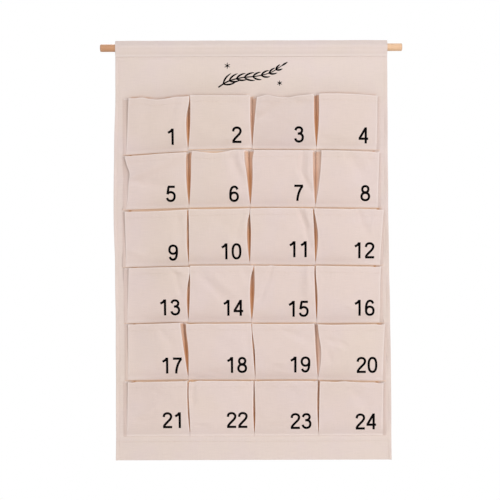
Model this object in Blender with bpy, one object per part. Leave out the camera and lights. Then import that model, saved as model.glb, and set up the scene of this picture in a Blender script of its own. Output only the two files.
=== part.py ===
# Fabric advent calendar: a canvas wall hanging with four columns and six rows of pleated
# pockets, hung from a wooden dowel that runs through a stitched sleeve.
# Metres, +Z up, +X along the dowel, the pockets face -Y. The origin is the dowel's middle.

import math

import bmesh
import bpy
from mathutils import Matrix, Vector

# Wooden dowel
DOWEL_LENGTH = 0.600
DOWEL_DIAMETER = 0.015
DOWEL_END_ROUND = 0.0016

# Canvas
CLOTH_THICKNESS = 0.0010
CLOTH_WIDTH = 0.543
CLOTH_HEIGHT = 0.8324
CLOTH_SHIFT = 0.0015
TOUCH_GAP = 0.0003

# Sleeve round the dowel, measured from the dowel's axis
SLEEVE_RISE = 0.0145
SLEEVE_INNER_DROP = 0.0154
SEAM_DROP = 0.0184

# Back panel
HEADER_HEIGHT = 0.0791
BOTTOM_BAND = 0.0501
SIDE_HEM = 0.008
BOTTOM_HEM = 0.038
HEM_EXTRA = 0.0008
HEM_EASE = 0.0006
EDGE_WANDER = 0.004
EDGE_WAVE = 0.0028
HEADER_SWELL = 0.0014
SELVEDGE_ROUND = 0.0003

# Pocket grid
SIDE_MARGIN = 0.0203
ROW_GAP = 0.0035
SEAM_WANDER = 0.010

# Pocket fronts
MOUTH_DEPTH = 0.018
SEAM_EDGE_GAP = 0.0010
EDGE_PLAY = 0.010
MOUTH_PLAY = 0.010
FOLD_RADIUS = 0.0018
POCKET_HEM = 0.0135
POCKET_HEM_THICKNESS = 0.0015
POCKET_HEM_EASE = 0.0008

# Side pleats
PLEAT_SEAM_HALF = 0.0005
OUTER_SEAM_OFFSET = 0.0045
OUTER_FLANGE = 0.002

ROWS = 6
COLUMNS = 4
DOWEL_SIDES = 36
ARC_STEPS = 8
FOLD_STEPS = 2
FRONT_CELLS = 4
WAVE_CELLS = 4
HEADER_CELLS = 3
PANEL_STEPS = 2

# Share of a pocket's height from which its side folds and pleats start
PLEAT_START_SHARE = 0.20
# Heights, as shares, of the cross sections between the pleat's start and the hem. The side
# folds are fully turned from the first of them up
SECTION_SHARES = (0.45, 0.70)
# Inward crease of a pleat, as a share of its depth
CREASE_SHARE = 0.28
# How much less the sides of a front stand out than its middle
CROWN_SHARE = 0.10

# Sideways wander of each row's five seam lines, as shares of SEAM_WANDER
SEAM_LINE_SHARES = (
    (0.10, -0.15, 0.00, 0.20, -0.45),
    (0.10, 0.00, -0.40, -0.05, -0.25),
    (0.05, -0.10, -0.55, -0.10, 0.15),
    (0.25, -0.20, -0.20, 0.10, 0.00),
    (0.40, -0.25, 0.45, 0.30, 0.55),
    (0.15, 0.10, 0.25, 0.40, 0.50),
)
# Rise of each pocket's mouth at its left, middle and right, as shares of MOUTH_PLAY
MOUTH_LINE_SHARES = (
    (-0.40, -0.60, -0.10),
    (0.10, 0.15, 0.15),
    (-0.30, 0.05, 0.30),
    (0.55, 0.55, 0.20),
    (-0.70, -0.30, 0.00),
    (0.15, -0.10, 0.30),
    (0.40, 0.35, 0.30),
    (0.35, 0.20, -0.10),
    (-0.50, -0.40, -0.10),
    (-0.05, -0.10, 0.10),
    (0.15, 0.20, 0.10),
    (0.10, 0.00, -0.10),
    (-0.35, -0.10, 0.05),
    (0.10, 0.10, 0.10),
    (0.10, 0.00, -0.05),
    (0.00, -0.05, -0.20),
    (-0.25, -0.10, 0.10),
    (-0.05, -0.05, -0.05),
    (0.00, -0.10, -0.15),
    (-0.10, -0.30, -0.30),
    (-0.20, -0.10, 0.05),
    (0.10, 0.10, 0.00),
    (0.05, 0.10, 0.05),
    (0.00, -0.10, -0.35),
)
# Each pocket's side edges off its seam lines: left edge at the mouth and half way down,
# then the right edge, as shares of EDGE_PLAY
SIDE_EDGE_SHARES = (
    (0.50, 0.25, 0.10, -0.30),
    (0.40, 0.40, -0.30, -0.30),
    (0.90, 0.40, -0.45, -0.40),
    (0.40, 0.40, 0.70, 0.30),
    (-0.40, 0.70, -0.45, -0.45),
    (0.45, 0.35, -1.10, -0.60),
    (0.25, 0.40, -0.50, -0.40),
    (1.10, 0.80, 0.35, 0.20),
    (-0.30, -0.15, -0.35, -0.35),
    (0.00, 0.05, -0.10, -0.50),
    (0.20, 0.20, -0.50, -0.20),
    (-0.15, 0.45, 0.80, 0.40),
    (0.30, 0.15, 0.20, -0.20),
    (0.45, 0.30, 0.10, -0.30),
    (0.45, 0.50, -0.50, -0.30),
    (-0.15, 0.10, 0.30, 0.15),
    (0.00, 0.00, -1.35, -0.75),
    (-0.20, 0.05, -0.80, -0.40),
    (-0.40, -0.10, -0.70, -0.40),
    (0.00, 0.60, 0.50, 0.25),
    (0.20, 0.10, -0.45, -0.45),
    (-0.10, -0.10, -0.20, -0.20),
    (0.15, 0.20, -0.25, -0.25),
    (0.25, 0.05, 0.20, 0.10),
)
# Outline of the cloth's left and right edges from the sleeve's seam, by each mouth line and
# the last row's seam, to the bottom edge, as shares of EDGE_WANDER to the right
LEFT_EDGE_SHARES = (0.0, 0.0, -0.7, -1.0, -0.3, 0.0, 0.1, 0.1, 0.0)
RIGHT_EDGE_SHARES = (-0.6, -0.6, -0.6, -0.5, -0.2, 0.2, 0.5, 0.5, 0.5)

CANVAS_PANEL_COLOUR = (0.760, 0.652, 0.604)
CANVAS_SLEEVE_COLOUR = (0.730, 0.640, 0.610)
CANVAS_POCKET_COLOUR = (0.775, 0.655, 0.598)
CANVAS_PLEAT_COLOUR = (0.730, 0.600, 0.530)
WOOD_COLOUR = (0.690, 0.420, 0.240)
CANVAS_ROUGHNESS = 0.95
WOOD_ROUGHNESS = 0.55

# Places that follow from the sizes above
POCKET_PITCH = (CLOTH_WIDTH - 2 * SIDE_MARGIN) / COLUMNS
ROWS_SPAN = CLOTH_HEIGHT - SLEEVE_RISE - SEAM_DROP - HEADER_HEIGHT - BOTTOM_BAND
ROW_PITCH = (ROWS_SPAN + ROW_GAP) / ROWS
HALF_CLOTH = CLOTH_THICKNESS / 2
DOWEL_RADIUS = DOWEL_DIAMETER / 2
POCKET_HEIGHT = ROW_PITCH - ROW_GAP
FIRST_MOUTH_Z = -(SEAM_DROP + HEADER_HEIGHT)
LAST_SEAM_Z = FIRST_MOUTH_Z - (ROWS - 1) * ROW_PITCH - POCKET_HEIGHT
BOTTOM_Z = LAST_SEAM_Z - BOTTOM_BAND
LEFT_X = CLOTH_SHIFT - CLOTH_WIDTH / 2
RIGHT_X = CLOTH_SHIFT + CLOTH_WIDTH / 2
SEAT_Y = -(HALF_CLOTH + TOUCH_GAP)
SEAM_DEPTH = CLOTH_THICKNESS - SEAT_Y
HINGE_Y = SEAT_Y - HALF_CLOTH


def clear_scene():
    for item in list(bpy.data.objects):
        bpy.data.objects.remove(item, do_unlink=True)


def make_material(name, colour, roughness):
    material = bpy.data.materials.new(name)
    material.use_nodes = True
    shader = material.node_tree.nodes["Principled BSDF"]
    shader.inputs["Base Color"].default_value = (*colour, 1.0)
    shader.inputs["Roughness"].default_value = roughness
    shader.inputs["Metallic"].default_value = 0.0
    material.diffuse_color = (*colour, 1.0)
    return material


def add_object(bm, name, material, origin, parent=None):
    """Make one closed body from world-space geometry, with its origin at the given point."""
    bmesh.ops.recalc_face_normals(bm, faces=bm.faces[:])
    bmesh.ops.translate(bm, verts=bm.verts[:], vec=-origin)
    mesh = bpy.data.meshes.new(name)
    bm.to_mesh(mesh)
    bm.free()
    mesh.shade_smooth()
    mesh.set_sharp_from_angle(angle=math.radians(35))
    mesh.materials.append(material)
    item = bpy.data.objects.new(name, mesh)
    bpy.context.scene.collection.objects.link(item)
    item.parent = parent
    item.location = origin - (parent.matrix_world.translation if parent else Vector())
    bpy.context.view_layer.update()
    return item


def sheet(columns, rows, outer, inner):
    """A closed sheet: a unit grid, extruded once, whose two skins are placed by functions."""
    bm = bmesh.new()
    bmesh.ops.create_grid(bm, x_segments=columns, y_segments=rows, size=1)
    back = bm.verts[:]
    raised = bmesh.ops.extrude_face_region(bm, geom=bm.faces[:])["geom"]
    front = [part for part in raised if isinstance(part, bmesh.types.BMVert)]
    for skin, place in ((back, inner), (front, outer)):
        for vert in skin:
            i = round((vert.co.x + 1) / 2 * columns)
            j = round((vert.co.y + 1) / 2 * rows)
            vert.co = place(i, j)
    return bm


def mix(low, high, share):
    return low + (high - low) * share


def smooth(share):
    share = min(max(share, 0.0), 1.0)
    return share * share * (3 - 2 * share)


def through(start, middle, end, share):
    """The parabola through three values at shares 0, a half and 1."""
    return (
        start * (1 - share) * (1 - 2 * share)
        + 4 * middle * share * (1 - share)
        + end * share * (2 * share - 1)
    )


# Where the cloth's edges and seams run

def station_heights():
    mouths = [FIRST_MOUTH_Z - row * ROW_PITCH for row in range(ROWS)]
    return [-SEAM_DROP, *mouths, LAST_SEAM_Z, BOTTOM_Z]


def along_stations(shares, z):
    """A table of shares, read between the stations at height z."""
    heights = station_heights()
    for n in range(len(heights) - 1):
        if z >= heights[n + 1] or n == len(heights) - 2:
            share = (heights[n] - z) / (heights[n] - heights[n + 1])
            return mix(shares[n], shares[n + 1], smooth(share))
    return shares[-1]


def left_edge(z):
    return LEFT_X + EDGE_WANDER * along_stations(LEFT_EDGE_SHARES, z)


def right_edge(z):
    return RIGHT_X + EDGE_WANDER * along_stations(RIGHT_EDGE_SHARES, z)


def seam_line(row, line):
    middle = CLOTH_SHIFT + (line - COLUMNS / 2) * POCKET_PITCH
    return middle + SEAM_WANDER * SEAM_LINE_SHARES[row][line]


# Shape of one pocket, in shares: across goes from its left to its right, up from its seam
# to its mouth

class Pocket:
    def __init__(self, row, column):
        self.row = row
        self.column = column
        self.index = row * COLUMNS + column
        self.name = f"pocket_{self.index + 1:02d}"
        self.mouth_shares = MOUTH_LINE_SHARES[self.index]
        self.edge_shares = SIDE_EDGE_SHARES[self.index]
        self.mouth_z = FIRST_MOUTH_Z - row * ROW_PITCH
        last = row == ROWS - 1
        self.seam_shares = (0, 0, 0) if last else MOUTH_LINE_SHARES[self.index + COLUMNS]

    def mouth(self, across):
        left, middle, right = self.mouth_shares
        return self.mouth_z + MOUTH_PLAY * through(left, middle, right, across)

    def seam(self, across):
        left, _, right = self.seam_shares
        return self.mouth_z - POCKET_HEIGHT + MOUTH_PLAY * mix(left, right, across)

    def height(self, across, up):
        return mix(self.seam(across), self.mouth(across), up)

    def left(self, up):
        at_mouth, half_way, _, _ = self.edge_shares
        line = seam_line(self.row, self.column) + SEAM_EDGE_GAP / 2
        return line + EDGE_PLAY * through(0, half_way, at_mouth, up)

    def right(self, up):
        _, _, at_mouth, half_way = self.edge_shares
        line = seam_line(self.row, self.column + 1) - SEAM_EDGE_GAP / 2
        return line + EDGE_PLAY * through(0, half_way, at_mouth, up)

    def depth(self, across, up):
        crown = 1 - CROWN_SHARE * (2 * across - 1) ** 2
        return SEAM_DEPTH + (MOUTH_DEPTH - SEAM_DEPTH) * crown * up

    def fold_angle(self, up):
        return math.pi / 2 * smooth(up / SECTION_SHARES[0])


def hem_start_share():
    return 1 - POCKET_HEM / POCKET_HEIGHT


def section_shares():
    """Heights of the cross sections from the pleat's start to the mouth."""
    hem = hem_start_share()
    return [PLEAT_START_SHARE, *SECTION_SHARES, hem, hem + POCKET_HEM_EASE / POCKET_HEIGHT, 1.0]


def thickness_at(up):
    return CLOTH_THICKNESS if up <= hem_start_share() else POCKET_HEM_THICKNESS


def front_point(pocket, i, up, lift):
    """A point of a pocket's front, column i, at a share up its height, lifted off its outer
    skin by a share of the cloth's thickness towards the inside."""
    columns = FRONT_CELLS + 2 * FOLD_STEPS
    thick = thickness_at(up) * lift
    sharpest = pocket.fold_angle(up)
    turned = 0.0
    if i < FOLD_STEPS:
        turned = sharpest * (1 - i / FOLD_STEPS)
    if i > columns - FOLD_STEPS:
        turned = -sharpest * (1 - (columns - i) / FOLD_STEPS)
    reach = FOLD_RADIUS * math.sin(sharpest)
    left, right = pocket.left(up), pocket.right(up)
    across = min(max((i - FOLD_STEPS) / FRONT_CELLS, 0.0), 1.0)
    flat_x = mix(left + reach, right - reach, across)
    x = flat_x - (FOLD_RADIUS - thick) * math.sin(turned)
    y = -pocket.depth(across, up) + FOLD_RADIUS - (FOLD_RADIUS - thick) * math.cos(turned)
    return Vector((x, y, pocket.height(across, up)))


def add_front(pocket, material, panel):
    rows = [0.0, *section_shares()]
    columns = FRONT_CELLS + 2 * FOLD_STEPS
    bm = sheet(
        columns,
        len(rows) - 1,
        lambda i, j: front_point(pocket, i, rows[j], 0.0),
        lambda i, j: front_point(pocket, i, rows[j], 1.0),
    )
    middle = mix(pocket.left(0), pocket.right(0), 0.5)
    hinge = Vector((middle, HINGE_Y, pocket.seam(0.5)))
    return add_object(bm, f"{pocket.name}_front", material, hinge, panel)


# Side pleats. Each wall runs from a front's folded edge, through an inward crease, back to
# the seam on the panel

def wall_profile(pocket, side, up, seam_x):
    """Outer and inner points, front to back, of one side wall's cross section. side is -1 at
    a pocket's left and 1 at its right."""
    across = (side + 1) / 2
    edge = pocket.right(up) if side > 0 else pocket.left(up)
    angle = pocket.fold_angle(up)
    thick = thickness_at(up)
    front_y = (
        TOUCH_GAP
        - pocket.depth(across, up)
        + FOLD_RADIUS * (1 - math.cos(angle))
        + thick * math.cos(angle)
    )
    back_y = SEAT_Y - CLOTH_THICKNESS
    crease = CREASE_SHARE * (back_y - front_y)
    z = pocket.height(across, up)
    outer = [
        Vector((edge, front_y, z)),
        Vector((mix(edge, seam_x, 0.5) - side * crease, mix(front_y, back_y, 0.5), z)),
        Vector((seam_x, back_y, z)),
    ]
    inner = [point - Vector((side * CLOTH_THICKNESS, 0, 0)) for point in outer]
    inner[-1].y = SEAT_Y
    return outer, inner


def pleat_profile(left_pocket, right_pocket, up):
    """Cross section of a pleat: the left pocket's wall, the seam and the right one's wall."""
    row = (left_pocket or right_pocket).row
    line = right_pocket.column if right_pocket else left_pocket.column + 1
    middle = seam_line(row, line)
    outer, inner = [], []
    if left_pocket:
        offset = -PLEAT_SEAM_HALF if right_pocket else OUTER_SEAM_OFFSET
        skin, lining = wall_profile(left_pocket, 1, up, middle + offset)
        outer, inner = outer + skin, inner + lining
    if right_pocket:
        offset = PLEAT_SEAM_HALF if left_pocket else -OUTER_SEAM_OFFSET
        skin, lining = wall_profile(right_pocket, -1, up, middle + offset)
        outer, inner = outer + skin[::-1], inner + lining[::-1]
    flange = Vector((OUTER_FLANGE, 0, 0))
    if not right_pocket:
        outer.append(outer[-1] + flange)
        inner.append(Vector((outer[-1].x, SEAT_Y, outer[-1].z)))
    if not left_pocket:
        outer.insert(0, outer[0] - flange)
        inner.insert(0, Vector((outer[0].x, SEAT_Y, outer[0].z)))
    return outer, inner


def pleat_name(left_pocket, right_pocket):
    if not left_pocket:
        return f"pleat_left_{right_pocket.index + 1:02d}"
    if not right_pocket:
        return f"pleat_right_{left_pocket.index + 1:02d}"
    return f"pleat_{left_pocket.index + 1:02d}_{right_pocket.index + 1:02d}"


def add_pleat(left_pocket, right_pocket, material, panel):
    rows = section_shares()
    profiles = [pleat_profile(left_pocket, right_pocket, up) for up in rows]
    columns = len(profiles[0][0]) - 1
    bm = sheet(
        columns,
        len(rows) - 1,
        lambda i, j: profiles[j][0][i],
        lambda i, j: profiles[j][1][i],
    )
    origin = panel.matrix_world.translation
    return add_object(bm, pleat_name(left_pocket, right_pocket), material, origin, panel)


# Back panel, one sheet with its side hems and bottom hem turned to the back

def panel_columns(z):
    left, right = left_edge(z), right_edge(z)
    first, last = seam_line(0, 0), seam_line(0, COLUMNS)
    hem_in = SIDE_HEM + HEM_EASE
    cells = COLUMNS * PANEL_STEPS
    middle = [mix(first, last, n / cells) for n in range(cells + 1)]
    return [left, left + SIDE_HEM, left + hem_in, *middle, right - hem_in, right - SIDE_HEM, right]


def panel_rows():
    """Heights of the panel's grid lines from the bottom edge up, with the share of the
    thickness that each has."""
    heights = [BOTTOM_Z, BOTTOM_Z + BOTTOM_HEM, BOTTOM_Z + BOTTOM_HEM + HEM_EASE]
    cells = ROWS * WAVE_CELLS
    heights += [LAST_SEAM_Z + (FIRST_MOUTH_Z - LAST_SEAM_Z) * n / cells for n in range(cells + 1)]
    top = HALF_CLOTH - SEAM_DROP
    shoulder = top - SELVEDGE_ROUND
    heights += [mix(FIRST_MOUTH_Z, shoulder, n / HEADER_CELLS) for n in range(1, HEADER_CELLS + 1)]
    return [*heights, top]


def panel_bow(x, z):
    """How far the cloth stands forward of its flat middle: along its free side edges, which
    wave with the rows, and in the header."""
    left, right = left_edge(z), right_edge(z)
    free = smooth(1 - min(x - left, right - x) / SIDE_HEM)
    phase = 2 * math.pi * (FIRST_MOUTH_Z - z) / ROW_PITCH
    fade = smooth((-SEAM_DROP - z) / HEADER_HEIGHT)
    wave = EDGE_WAVE * free * fade * (0.5 - 0.5 * math.cos(phase))
    drop = (-SEAM_DROP - z) / HEADER_HEIGHT
    swell = 0.0
    if 0 < drop < 1:
        swell = HEADER_SWELL * math.sin(math.pi * drop) ** 2
        swell *= 0.5 - 0.5 * math.cos(4 * math.pi * (x - LEFT_X) / CLOTH_WIDTH)
    return wave + swell


def add_panel(material, sleeve):
    heights = panel_rows()
    top_row = len(heights) - 1
    column_count = len(panel_columns(BOTTOM_Z)) - 1

    def skin_point(i, j, side):
        z = heights[j]
        x = panel_columns(z)[i]
        half = HALF_CLOTH - (SELVEDGE_ROUND if j == top_row else 0)
        hemmed = i in (0, 1, column_count - 1, column_count) or j in (0, 1)
        extra = HEM_EXTRA if hemmed and side > 0 and j < top_row - 1 else 0
        return Vector((x, side * half + extra - panel_bow(x, z), z))

    bm = sheet(
        column_count,
        top_row,
        lambda i, j: skin_point(i, j, -1),
        lambda i, j: skin_point(i, j, 1),
    )
    return add_object(bm, "back_panel", material, Vector((0, 0, -SEAM_DROP)), sleeve)


# Sleeve: a pressed crease on top, the dowel's round in the middle, two layers at the seam

def sleeve_outline(radius, top, bottom):
    """Half of a loop round the dowel, from the crease at the top to the bottom point, as
    pairs of distance from the middle plane and height."""
    upper = math.acos(radius / top)
    lower = math.pi - math.acos(radius / bottom)
    points = [(0.0, top)]
    for n in range(ARC_STEPS + 1):
        angle = mix(upper, lower, n / ARC_STEPS)
        points.append((radius * math.sin(angle), radius * math.cos(angle)))
    return points


def add_loop(bm, points):
    verts = [bm.verts.new((0, y, z)) for y, z in points]
    return [bm.edges.new((a, verts[n - 1])) for n, a in enumerate(verts)]


def add_sleeve(material, dowel):
    inside = DOWEL_RADIUS + TOUCH_GAP
    outside = inside + CLOTH_THICKNESS
    inner_top = SLEEVE_RISE * inside / outside
    outer_bottom = SLEEVE_INNER_DROP * outside / inside
    slope = math.tan(math.asin(outside / outer_bottom))
    join_z = -outer_bottom + CLOTH_THICKNESS / slope
    tail_z = HALF_CLOTH + TOUCH_GAP - SEAM_DROP
    outer_half = sleeve_outline(outside, SLEEVE_RISE, outer_bottom)
    outer_half += [(CLOTH_THICKNESS, join_z), (CLOTH_THICKNESS, tail_z)]
    inner_half = [*sleeve_outline(inside, inner_top, SLEEVE_INNER_DROP), (0.0, -SLEEVE_INNER_DROP)]
    outer = outer_half + [(-y, z) for y, z in outer_half[:0:-1]]
    inner = inner_half + [(-y, z) for y, z in inner_half[-2:0:-1]]
    bm = bmesh.new()
    edges = add_loop(bm, outer) + add_loop(bm, inner)
    bmesh.ops.triangle_fill(bm, use_beauty=True, use_dissolve=False, edges=edges)
    left, right = left_edge(-SEAM_DROP), right_edge(-SEAM_DROP)
    raised = bmesh.ops.extrude_face_region(bm, geom=bm.faces[:])["geom"]
    far_end = [part for part in raised if isinstance(part, bmesh.types.BMVert)]
    bmesh.ops.translate(bm, verts=bm.verts[:], vec=(left, 0, 0))
    bmesh.ops.translate(bm, verts=far_end, vec=(right - left, 0, 0))
    return add_object(bm, "top_sleeve", material, Vector((0, 0, 0)), dowel)


def add_dowel(material):
    bm = bmesh.new()
    bmesh.ops.create_cone(
        bm,
        cap_ends=True,
        segments=DOWEL_SIDES,
        radius1=DOWEL_RADIUS,
        radius2=DOWEL_RADIUS,
        depth=DOWEL_LENGTH,
        matrix=Matrix.Rotation(math.pi / 2, 4, "Y"),
    )
    rims = [edge for edge in bm.edges if abs(edge.verts[0].co.x - edge.verts[1].co.x) < TOUCH_GAP]
    bmesh.ops.bevel(
        bm, geom=rims, offset=DOWEL_END_ROUND, segments=2, profile=0.5, affect="EDGES"
    )
    return add_object(bm, "dowel", material, Vector((0, 0, 0)))


def main():
    clear_scene()
    wood = make_material("dowel_wood", WOOD_COLOUR, WOOD_ROUGHNESS)
    canvas_sleeve = make_material("sleeve_canvas", CANVAS_SLEEVE_COLOUR, CANVAS_ROUGHNESS)
    canvas_panel = make_material("panel_canvas", CANVAS_PANEL_COLOUR, CANVAS_ROUGHNESS)
    canvas_pocket = make_material("pocket_canvas", CANVAS_POCKET_COLOUR, CANVAS_ROUGHNESS)
    canvas_pleat = make_material("pleat_canvas", CANVAS_PLEAT_COLOUR, CANVAS_ROUGHNESS)
    dowel = add_dowel(wood)
    sleeve = add_sleeve(canvas_sleeve, dowel)
    panel = add_panel(canvas_panel, sleeve)
    for row in range(ROWS):
        pockets = [Pocket(row, column) for column in range(COLUMNS)]
        for pocket in pockets:
            add_front(pocket, canvas_pocket, panel)
        for left_pocket, right_pocket in zip([None, *pockets], [*pockets, None]):
            add_pleat(left_pocket, right_pocket, canvas_pleat, panel)


main()
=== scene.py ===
import math

import bpy
import numpy as np
from mathutils import Matrix, Vector


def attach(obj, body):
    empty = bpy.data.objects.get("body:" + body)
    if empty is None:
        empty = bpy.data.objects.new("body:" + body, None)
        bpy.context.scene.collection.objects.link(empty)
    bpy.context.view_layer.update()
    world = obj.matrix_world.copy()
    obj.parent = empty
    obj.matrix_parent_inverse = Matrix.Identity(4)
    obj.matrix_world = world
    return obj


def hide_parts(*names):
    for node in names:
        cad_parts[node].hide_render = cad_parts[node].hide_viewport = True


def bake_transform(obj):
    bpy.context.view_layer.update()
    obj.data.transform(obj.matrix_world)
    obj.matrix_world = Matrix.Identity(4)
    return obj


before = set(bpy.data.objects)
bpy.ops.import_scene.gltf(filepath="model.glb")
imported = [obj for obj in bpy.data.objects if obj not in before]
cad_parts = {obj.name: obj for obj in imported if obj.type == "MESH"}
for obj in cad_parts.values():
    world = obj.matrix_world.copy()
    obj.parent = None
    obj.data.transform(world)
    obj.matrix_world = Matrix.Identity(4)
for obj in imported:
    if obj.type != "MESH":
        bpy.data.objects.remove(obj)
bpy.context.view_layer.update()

# Canvas advent calendar: a wall hanging of natural cotton on a wooden dowel, with 24 pleated
# pockets, printed numbers and sewn seams. Metres, +Z up, the pockets face -Y.


mm = 0.001

# what all the cloth shares
cloth = {
    "thickness": 0.001,
    "air": 0.0003,              # between two sheets that lie on each other
    "turn": 0.0006,             # length of a hem's step from one layer to two
    "width": 0.543,
    "endRound": 0.0011,         # how far in from an edge its rounding goes
    "shift": 0.0015,            # middle of the cloth off the middle of the dowel
    "seamDrop": 0.0184,         # sleeve's stitch line below the dowel's axis
    "header": 0.0791,           # stitch line to the first mouths
    "bottomBand": 0.0501,
    "threadPitch": 0.00105,     # one warp or weft thread to the next
}
grid = {
    "rows": 6,
    "columns": 4,
    "pitchAcross": 0.1256,
    "pitchDown": 0.1123,
    "pocketHeight": 0.1088,
    "seamWander": 0.01,
    "seamLines": (              # sideways wander of each row's five seam lines
        (0.1, -0.15, 0.0, 0.2, -0.45),
        (0.1, 0.0, -0.4, -0.05, -0.25),
        (0.05, -0.1, -0.55, -0.1, 0.15),
        (0.25, -0.2, -0.2, 0.1, 0.0),
        (0.4, -0.25, 0.45, 0.3, 0.55),
        (0.15, 0.1, 0.25, 0.4, 0.5),
    ),
}
stitchZ = -cloth["seamDrop"]
firstMouth = -(cloth["seamDrop"] + cloth["header"])
lastSeam = firstMouth - (grid["rows"] - 1) * grid["pitchDown"] - grid["pocketHeight"]
bottomEdge = lastSeam - cloth["bottomBand"]
panelFront = -cloth["thickness"] / 2
seatY = panelFront - cloth["air"]   # inner skin of whatever lies on the panel


# small helpers, all of them for single numbers or whole numpy grids

def mixed(low, high, share):
    return low + (high - low) * share


def eased(share):
    share = np.clip(share, 0.0, 1.0)
    return share * share * (3 - 2 * share)


def rising(value, start, length):
    # from 0 at the start to 1 a length further up
    return eased((value - start) / length)


def falling(value, start, length):
    # from 0 at the start to 1 a length further down
    return eased((start - value) / length)


def through(start, middle, end, share):
    # a smooth run from the start by way of the middle to the end
    return (start * (1 - share) * (1 - 2 * share)
            + 4 * middle * share * (1 - share)
            + end * share * (2 * share - 1))


def hump(distance, width):
    return np.exp(-(distance / width) ** 2)


def ripple(seed, a, b, size):
    # soft waves in all directions, as long as size says, the same on every run
    dice = np.random.default_rng(seed)
    total = 0.0
    for _ in range(7):
        turn, phase = dice.uniform(0, 2 * math.pi, 2)
        length = size * dice.uniform(0.6, 1.7)
        along = a * math.cos(turn) + b * math.sin(turn)
        total = total + np.sin(along * 2 * math.pi / length + phase)
    return total / 4.0


def deselect():
    bpy.ops.object.select_all(action="DESELECT")


def faceOutwards():
    # turns every face of the mesh in edit mode outwards, and ends that mode
    bpy.ops.mesh.select_all(action="SELECT")
    bpy.ops.mesh.normals_make_consistent(inside=False)
    bpy.ops.object.mode_set(mode="OBJECT")


# materials

class Wire:
    # a shader value that Python's own operators work on
    def __init__(self, bench, socket):
        self.bench, self.socket = bench, socket

    def sum(self, operation, first, second=0.0):
        return self.bench.node("ShaderNodeMath", {0: first, 1: second}, operation=operation)["Value"]

    def __add__(self, other):
        return self.sum("ADD", self, other)

    def __radd__(self, other):
        return self.sum("ADD", other, self)

    def __sub__(self, other):
        return self.sum("SUBTRACT", self, other)

    def __rsub__(self, other):
        return self.sum("SUBTRACT", other, self)

    def __mul__(self, other):
        return self.sum("MULTIPLY", self, other)

    def __rmul__(self, other):
        return self.sum("MULTIPLY", other, self)

    def __pow__(self, other):
        return self.sum("POWER", self, other)

    def sine(self):
        return self.sum("SINE", self)

    def size(self):
        return self.sum("ABSOLUTE", self)

    def most(self, other):
        return self.sum("MAXIMUM", self, other)

    def between(self, low, high):
        # 0 below low, 1 above high, eased in the middle
        return self.bench.node("ShaderNodeMapRange", {"Value": self, "From Min": low, "From Max": high},
                               interpolation_type="SMOOTHSTEP", clamp=True)["Result"]


class Bench:
    # the nodes of one material, or of the world
    def __init__(self, owner):
        owner.use_nodes = True
        self.owner, self.tree = owner, owner.node_tree
        self.shader = self.tree.nodes.get("Principled BSDF")

    def node(self, kind, values, **settings):
        made = self.tree.nodes.new(kind)
        for key, value in settings.items():
            setattr(made, key, value)
        for key, value in values.items():
            self.feed(made.inputs[key], value)
        return {output.name: Wire(self, output) for output in made.outputs if output.enabled}

    def feed(self, socket, value):
        if isinstance(value, Wire):
            self.tree.links.new(value.socket, socket)
        elif socket.type == "RGBA":
            socket.default_value = (*value, 1.0)
        else:
            socket.default_value = value

    def set(self, name, value):
        self.feed(self.shader.inputs[name], value)

    def bump(self, strength, distance, height):
        self.set("Normal", self.node("ShaderNodeBump", {
            "Strength": strength, "Distance": distance, "Height": height})["Normal"])

    def mixColours(self, share, first, second, how="MIX"):
        made = self.tree.nodes.new("ShaderNodeMix")
        made.data_type, made.blend_type = "RGBA", how
        for index, value in ((0, share), (6, first), (7, second)):
            self.feed(made.inputs[index], value)
        return Wire(self, made.outputs[2])

    def onObject(self):
        return self.node("ShaderNodeTexCoord", {})["Object"]

    def onCloth(self):
        # the place on the cloth laid flat
        return self.node("ShaderNodeUVMap", {}, uv_map="clothMap")["UV"]

    def axes(self, place):
        return self.node("ShaderNodeSeparateXYZ", {"Vector": place})

    def noise(self, place, scale, detail=2.0, rough=0.5):
        if isinstance(scale, tuple):    # finer one way than the other
            place = self.node("ShaderNodeMapping", {"Vector": place, "Scale": scale})["Vector"]
            scale = 1.0
        return self.node("ShaderNodeTexNoise", {
            "Vector": place, "Scale": scale, "Detail": detail, "Roughness": rough})["Fac"]

    def attribute(self, name):
        return self.node("ShaderNodeAttribute", {}, attribute_name=name)["Fac"]


def fromScreen(red, green, blue):
    # a colour as a screen shows it, 0 to 255, to the linear one that nodes take
    linear = []
    for value in (red, green, blue):
        value = value / 255
        linear.append(value / 12.92 if value <= 0.04045 else ((value + 0.055) / 1.055) ** 2.4)
    return tuple(linear)


def weaveOf(bench, flat):
    # plain weave: at each crossing one thread lies over the other
    parts = bench.axes(flat)
    warp = parts["X"] * (math.pi / cloth["threadPitch"])
    weft = parts["Y"] * (math.pi / cloth["threadPitch"])
    warpWave, weftWave = warp.sine(), weft.sine()
    over = warpWave * weftWave * 0.5 + 0.5
    return over * warpWave.size() + (1.0 - over) * weftWave.size()


canvas = {
    "panel": fromScreen(228, 210, 200),
    "pocket": fromScreen(227, 207, 198),
    "pink": fromScreen(226, 207, 202),
    "straw": fromScreen(224, 206, 190),
    "seed": fromScreen(186, 150, 118),
    # paler cloth: worn folded edges, and painted light
    "wearAndLight": fromScreen(241, 226, 219),
    # painted warm shade for deep in the pleats and behind the mouths
    "paintedFoldShade": fromScreen(199, 133, 74),
    "glow": fromScreen(250, 210, 170),  # lit through the cloth in front of it
    "amber": fromScreen(253, 196, 130),
    "roughness": 0.93,
    "sheen": 0.12,
    "sheenRoughness": 0.6,
    "gloss": 0.25,
    "mottle": 0.5,              # how far the pink and straw tones show
    "slubAcross": (45.0, 950.0, 1.0),   # how fine the threads' thick places are, each way
    "slubDown": (950.0, 34.0, 1.0),
    "slubTint": 0.2,
    "specks": (420.0, 640.0, 1.0),
    "speckTint": 0.35,
    "foldTint": 0.92,
    "wearAndLightTint": 0.75,
    "weaveMiddle": 0.62,        # mean height of the weave
    "weaveTint": 0.07,
    "weaveBump": 0.00022,
}


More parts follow.
